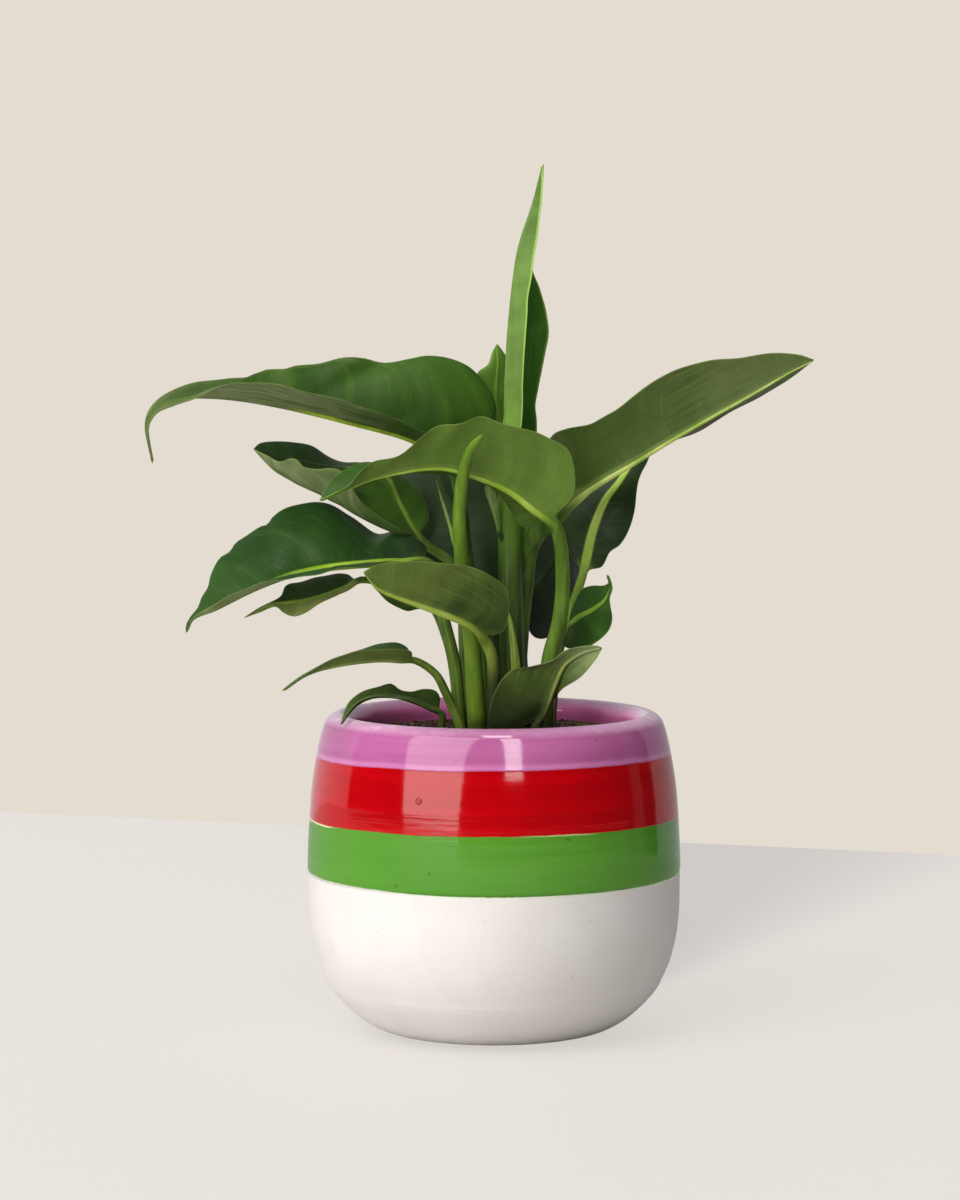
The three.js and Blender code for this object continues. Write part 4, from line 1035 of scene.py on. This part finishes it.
# azimuths, elevations and brightness, whether it lights things, and whether it is mirrored
LIGHTS = {
    "left_window": ((-61.5, -17.5), (-0.5, 55), 3.1, True, True),
    "front_window": ((6, 19), (14, 50), 7, False, True),
    "ceiling_light": ((-13, 19), (56, 76), 7.5, False, True),
    "left_fill": ((-115, -65), (0, 60), 0.3, True, False),
    "high_light": ((-70, 0), (32, 78), 2.4, True, False),
}
CAMERA_LENS = 120
CAMERA_WIDTH = 36  # of its sensor
CAMERA_DOWN = 4.4  # degrees
CAMERA_DISTANCE = 1707
CAMERA_AIM = (-6, 0, 185)


def make_table():
    f = Finish("table_top")
    x, y, _ = f.parts(f.place())
    # painted shadow: the pot's shadow, painted into the table's colour, spreads to the back and the right
    shadow = (SHADOW_MIDDLE, SHADOW_CORE, SHADOW_EDGE)
    middle, core, edge = (f.line(y, *line) for line in shadow)
    painted_shadow = f.times(f.step(f.maths("ABSOLUTE", f.less(x, middle)), edge, core), f.step(y, *SHADOW_START))
    top = f.mix(painted_shadow, linear(TABLE_COLOUR), linear(SHADOW_COLOUR))
    mirrored = f.add("ShaderNodeLightPath", {}, "Is Glossy Ray")
    seen = f.add("ShaderNodeLightPath", {}, "Is Camera Ray")
    shade = f.mix(mirrored, linear(TABLE_BOUNCE), linear(TABLE_IN_MIRROR))
    lit = f.mix(TABLE_EVEN, top, linear((0, 0, 0)))
    f.plug(Base_Color=f.mix(seen, shade, lit), Roughness=0.7, Normal=f.bump(f.noise(500, 3), 0.1 * MM, 0.2),
           Emission_Color=top, Emission_Strength=f.times(seen, TABLE_EVEN))
    bm = bmesh.new()
    bmesh.ops.create_grid(bm, x_segments=1, y_segments=1, size=1)
    for v in bm.verts:
        back = TABLE_BACK[v.co.x > 0]
        v.co = Vector((back[0], back[1] if v.co.y > 0 else TABLE_FRONT, 0))
    piece_from(bm, "table_top", f.material, None)


def make_light(name, azimuths, elevations, brightness, falls, mirrored):
    """A rectangle of light that fills these degrees. Azimuth is from the camera's side towards +X."""
    a, e = (math.radians(sum(pair) / 2) for pair in (azimuths, elevations))
    data = bpy.data.lights.new(name, "AREA")
    data.shape = "RECTANGLE"
    wide = 2 * LIGHT_DISTANCE * math.cos(e) * math.tan(math.radians(azimuths[1] - azimuths[0]) / 2)
    high = 2 * LIGHT_DISTANCE * math.tan(math.radians(elevations[1] - elevations[0]) / 2)
    data.size, data.size_y = wide, high
    data.energy = 4 * wide * high * brightness
    data.color = LIGHT_COLOUR
    lamp = put(name, data)
    out = Vector((math.sin(a) * math.cos(e), -math.cos(a) * math.cos(e), math.sin(e)))
    lamp.location = LIGHT_AIM + out * LIGHT_DISTANCE
    lamp.rotation_euler = out.to_track_quat("Z", "Y").to_euler()
    lamp.visible_diffuse = falls
    lamp.visible_glossy = mirrored


def make_world():
    """A dim room in front, a paler ceiling, and a pale wall behind from one side round to the other."""
    world = bpy.data.worlds.new("room")
    bpy.context.scene.world = world
    world.use_nodes = True
    w = Nodes(world.node_tree)
    x, y, z = w.parts(w.add("ShaderNodeTexCoord", {}, "Generated"))
    flat = w.maths("SQRT", w.plus(w.times(x, x), w.times(y, y), 1e-6))
    back = w.maths("DIVIDE", y, flat)
    right = w.step(x, -0.02, 0.02)
    wall = w.step(w.less(back, w.line(right, *WALL_FROM)), -0.006, 0.006)
    door = w.times(w.step(back, *DOOR[0]), w.step(back, *DOOR[1]), right)
    level = w.plus(ROOM_LIGHT, w.times(w.step(z, *CEILING[:2]), CEILING[2]), w.times(door, DOOR[2]))
    level = w.maths("MAXIMUM", level, w.times(wall, w.line(right, *WALL_LIGHT)))
    ground = world.node_tree.nodes["Background"]
    w.feed(ground.inputs["Color"], linear(SKY_COLOUR))
    w.feed(ground.inputs["Strength"], level)
    behind = w.add("ShaderNodeBackground", {"Color": linear(WALL_COLOUR)})
    seen = w.add("ShaderNodeLightPath", {}, "Is Camera Ray")
    both = w.add("ShaderNodeMixShader", {0: seen, 1: ground.outputs[0], 2: behind})
    w.feed(world.node_tree.nodes["World Output"].inputs[0], both)


def make_camera():
    data = bpy.data.cameras.new("camera")
    data.lens = CAMERA_LENS
    data.sensor_width = CAMERA_WIDTH
    camera = put("camera", data)
    down = math.radians(CAMERA_DOWN)
    out = Vector((0, -math.cos(down), math.sin(down)))
    camera.location = Vector(CAMERA_AIM) * MM + out * (CAMERA_DISTANCE * MM)
    camera.rotation_euler = (math.pi / 2 - down, 0, 0)
    bpy.context.scene.camera = camera


make_camera()
make_pot()
potting_mix = soil_finish()
make_soil(potting_mix)
make_crumbs(potting_mix)
for leaf_name, leaf_shape in LEAVES.items():
    make_leaf(leaf_name + "_leaf", leaf_shape, leaf_finish(leaf_name, LOOKS[leaf_name]), "leaf_" + leaf_name)
for sheath_name, (leaf_name, shape) in SHEATHS.items():
    make_leaf(sheath_name, shape, leaf_finish(sheath_name, LOOKS[sheath_name]), "leaf_" + leaf_name)
make_table()
make_world()
for light_name, light in LIGHTS.items():
    make_light(light_name, *light)
bpy.context.scene.view_settings.view_transform = "Standard"
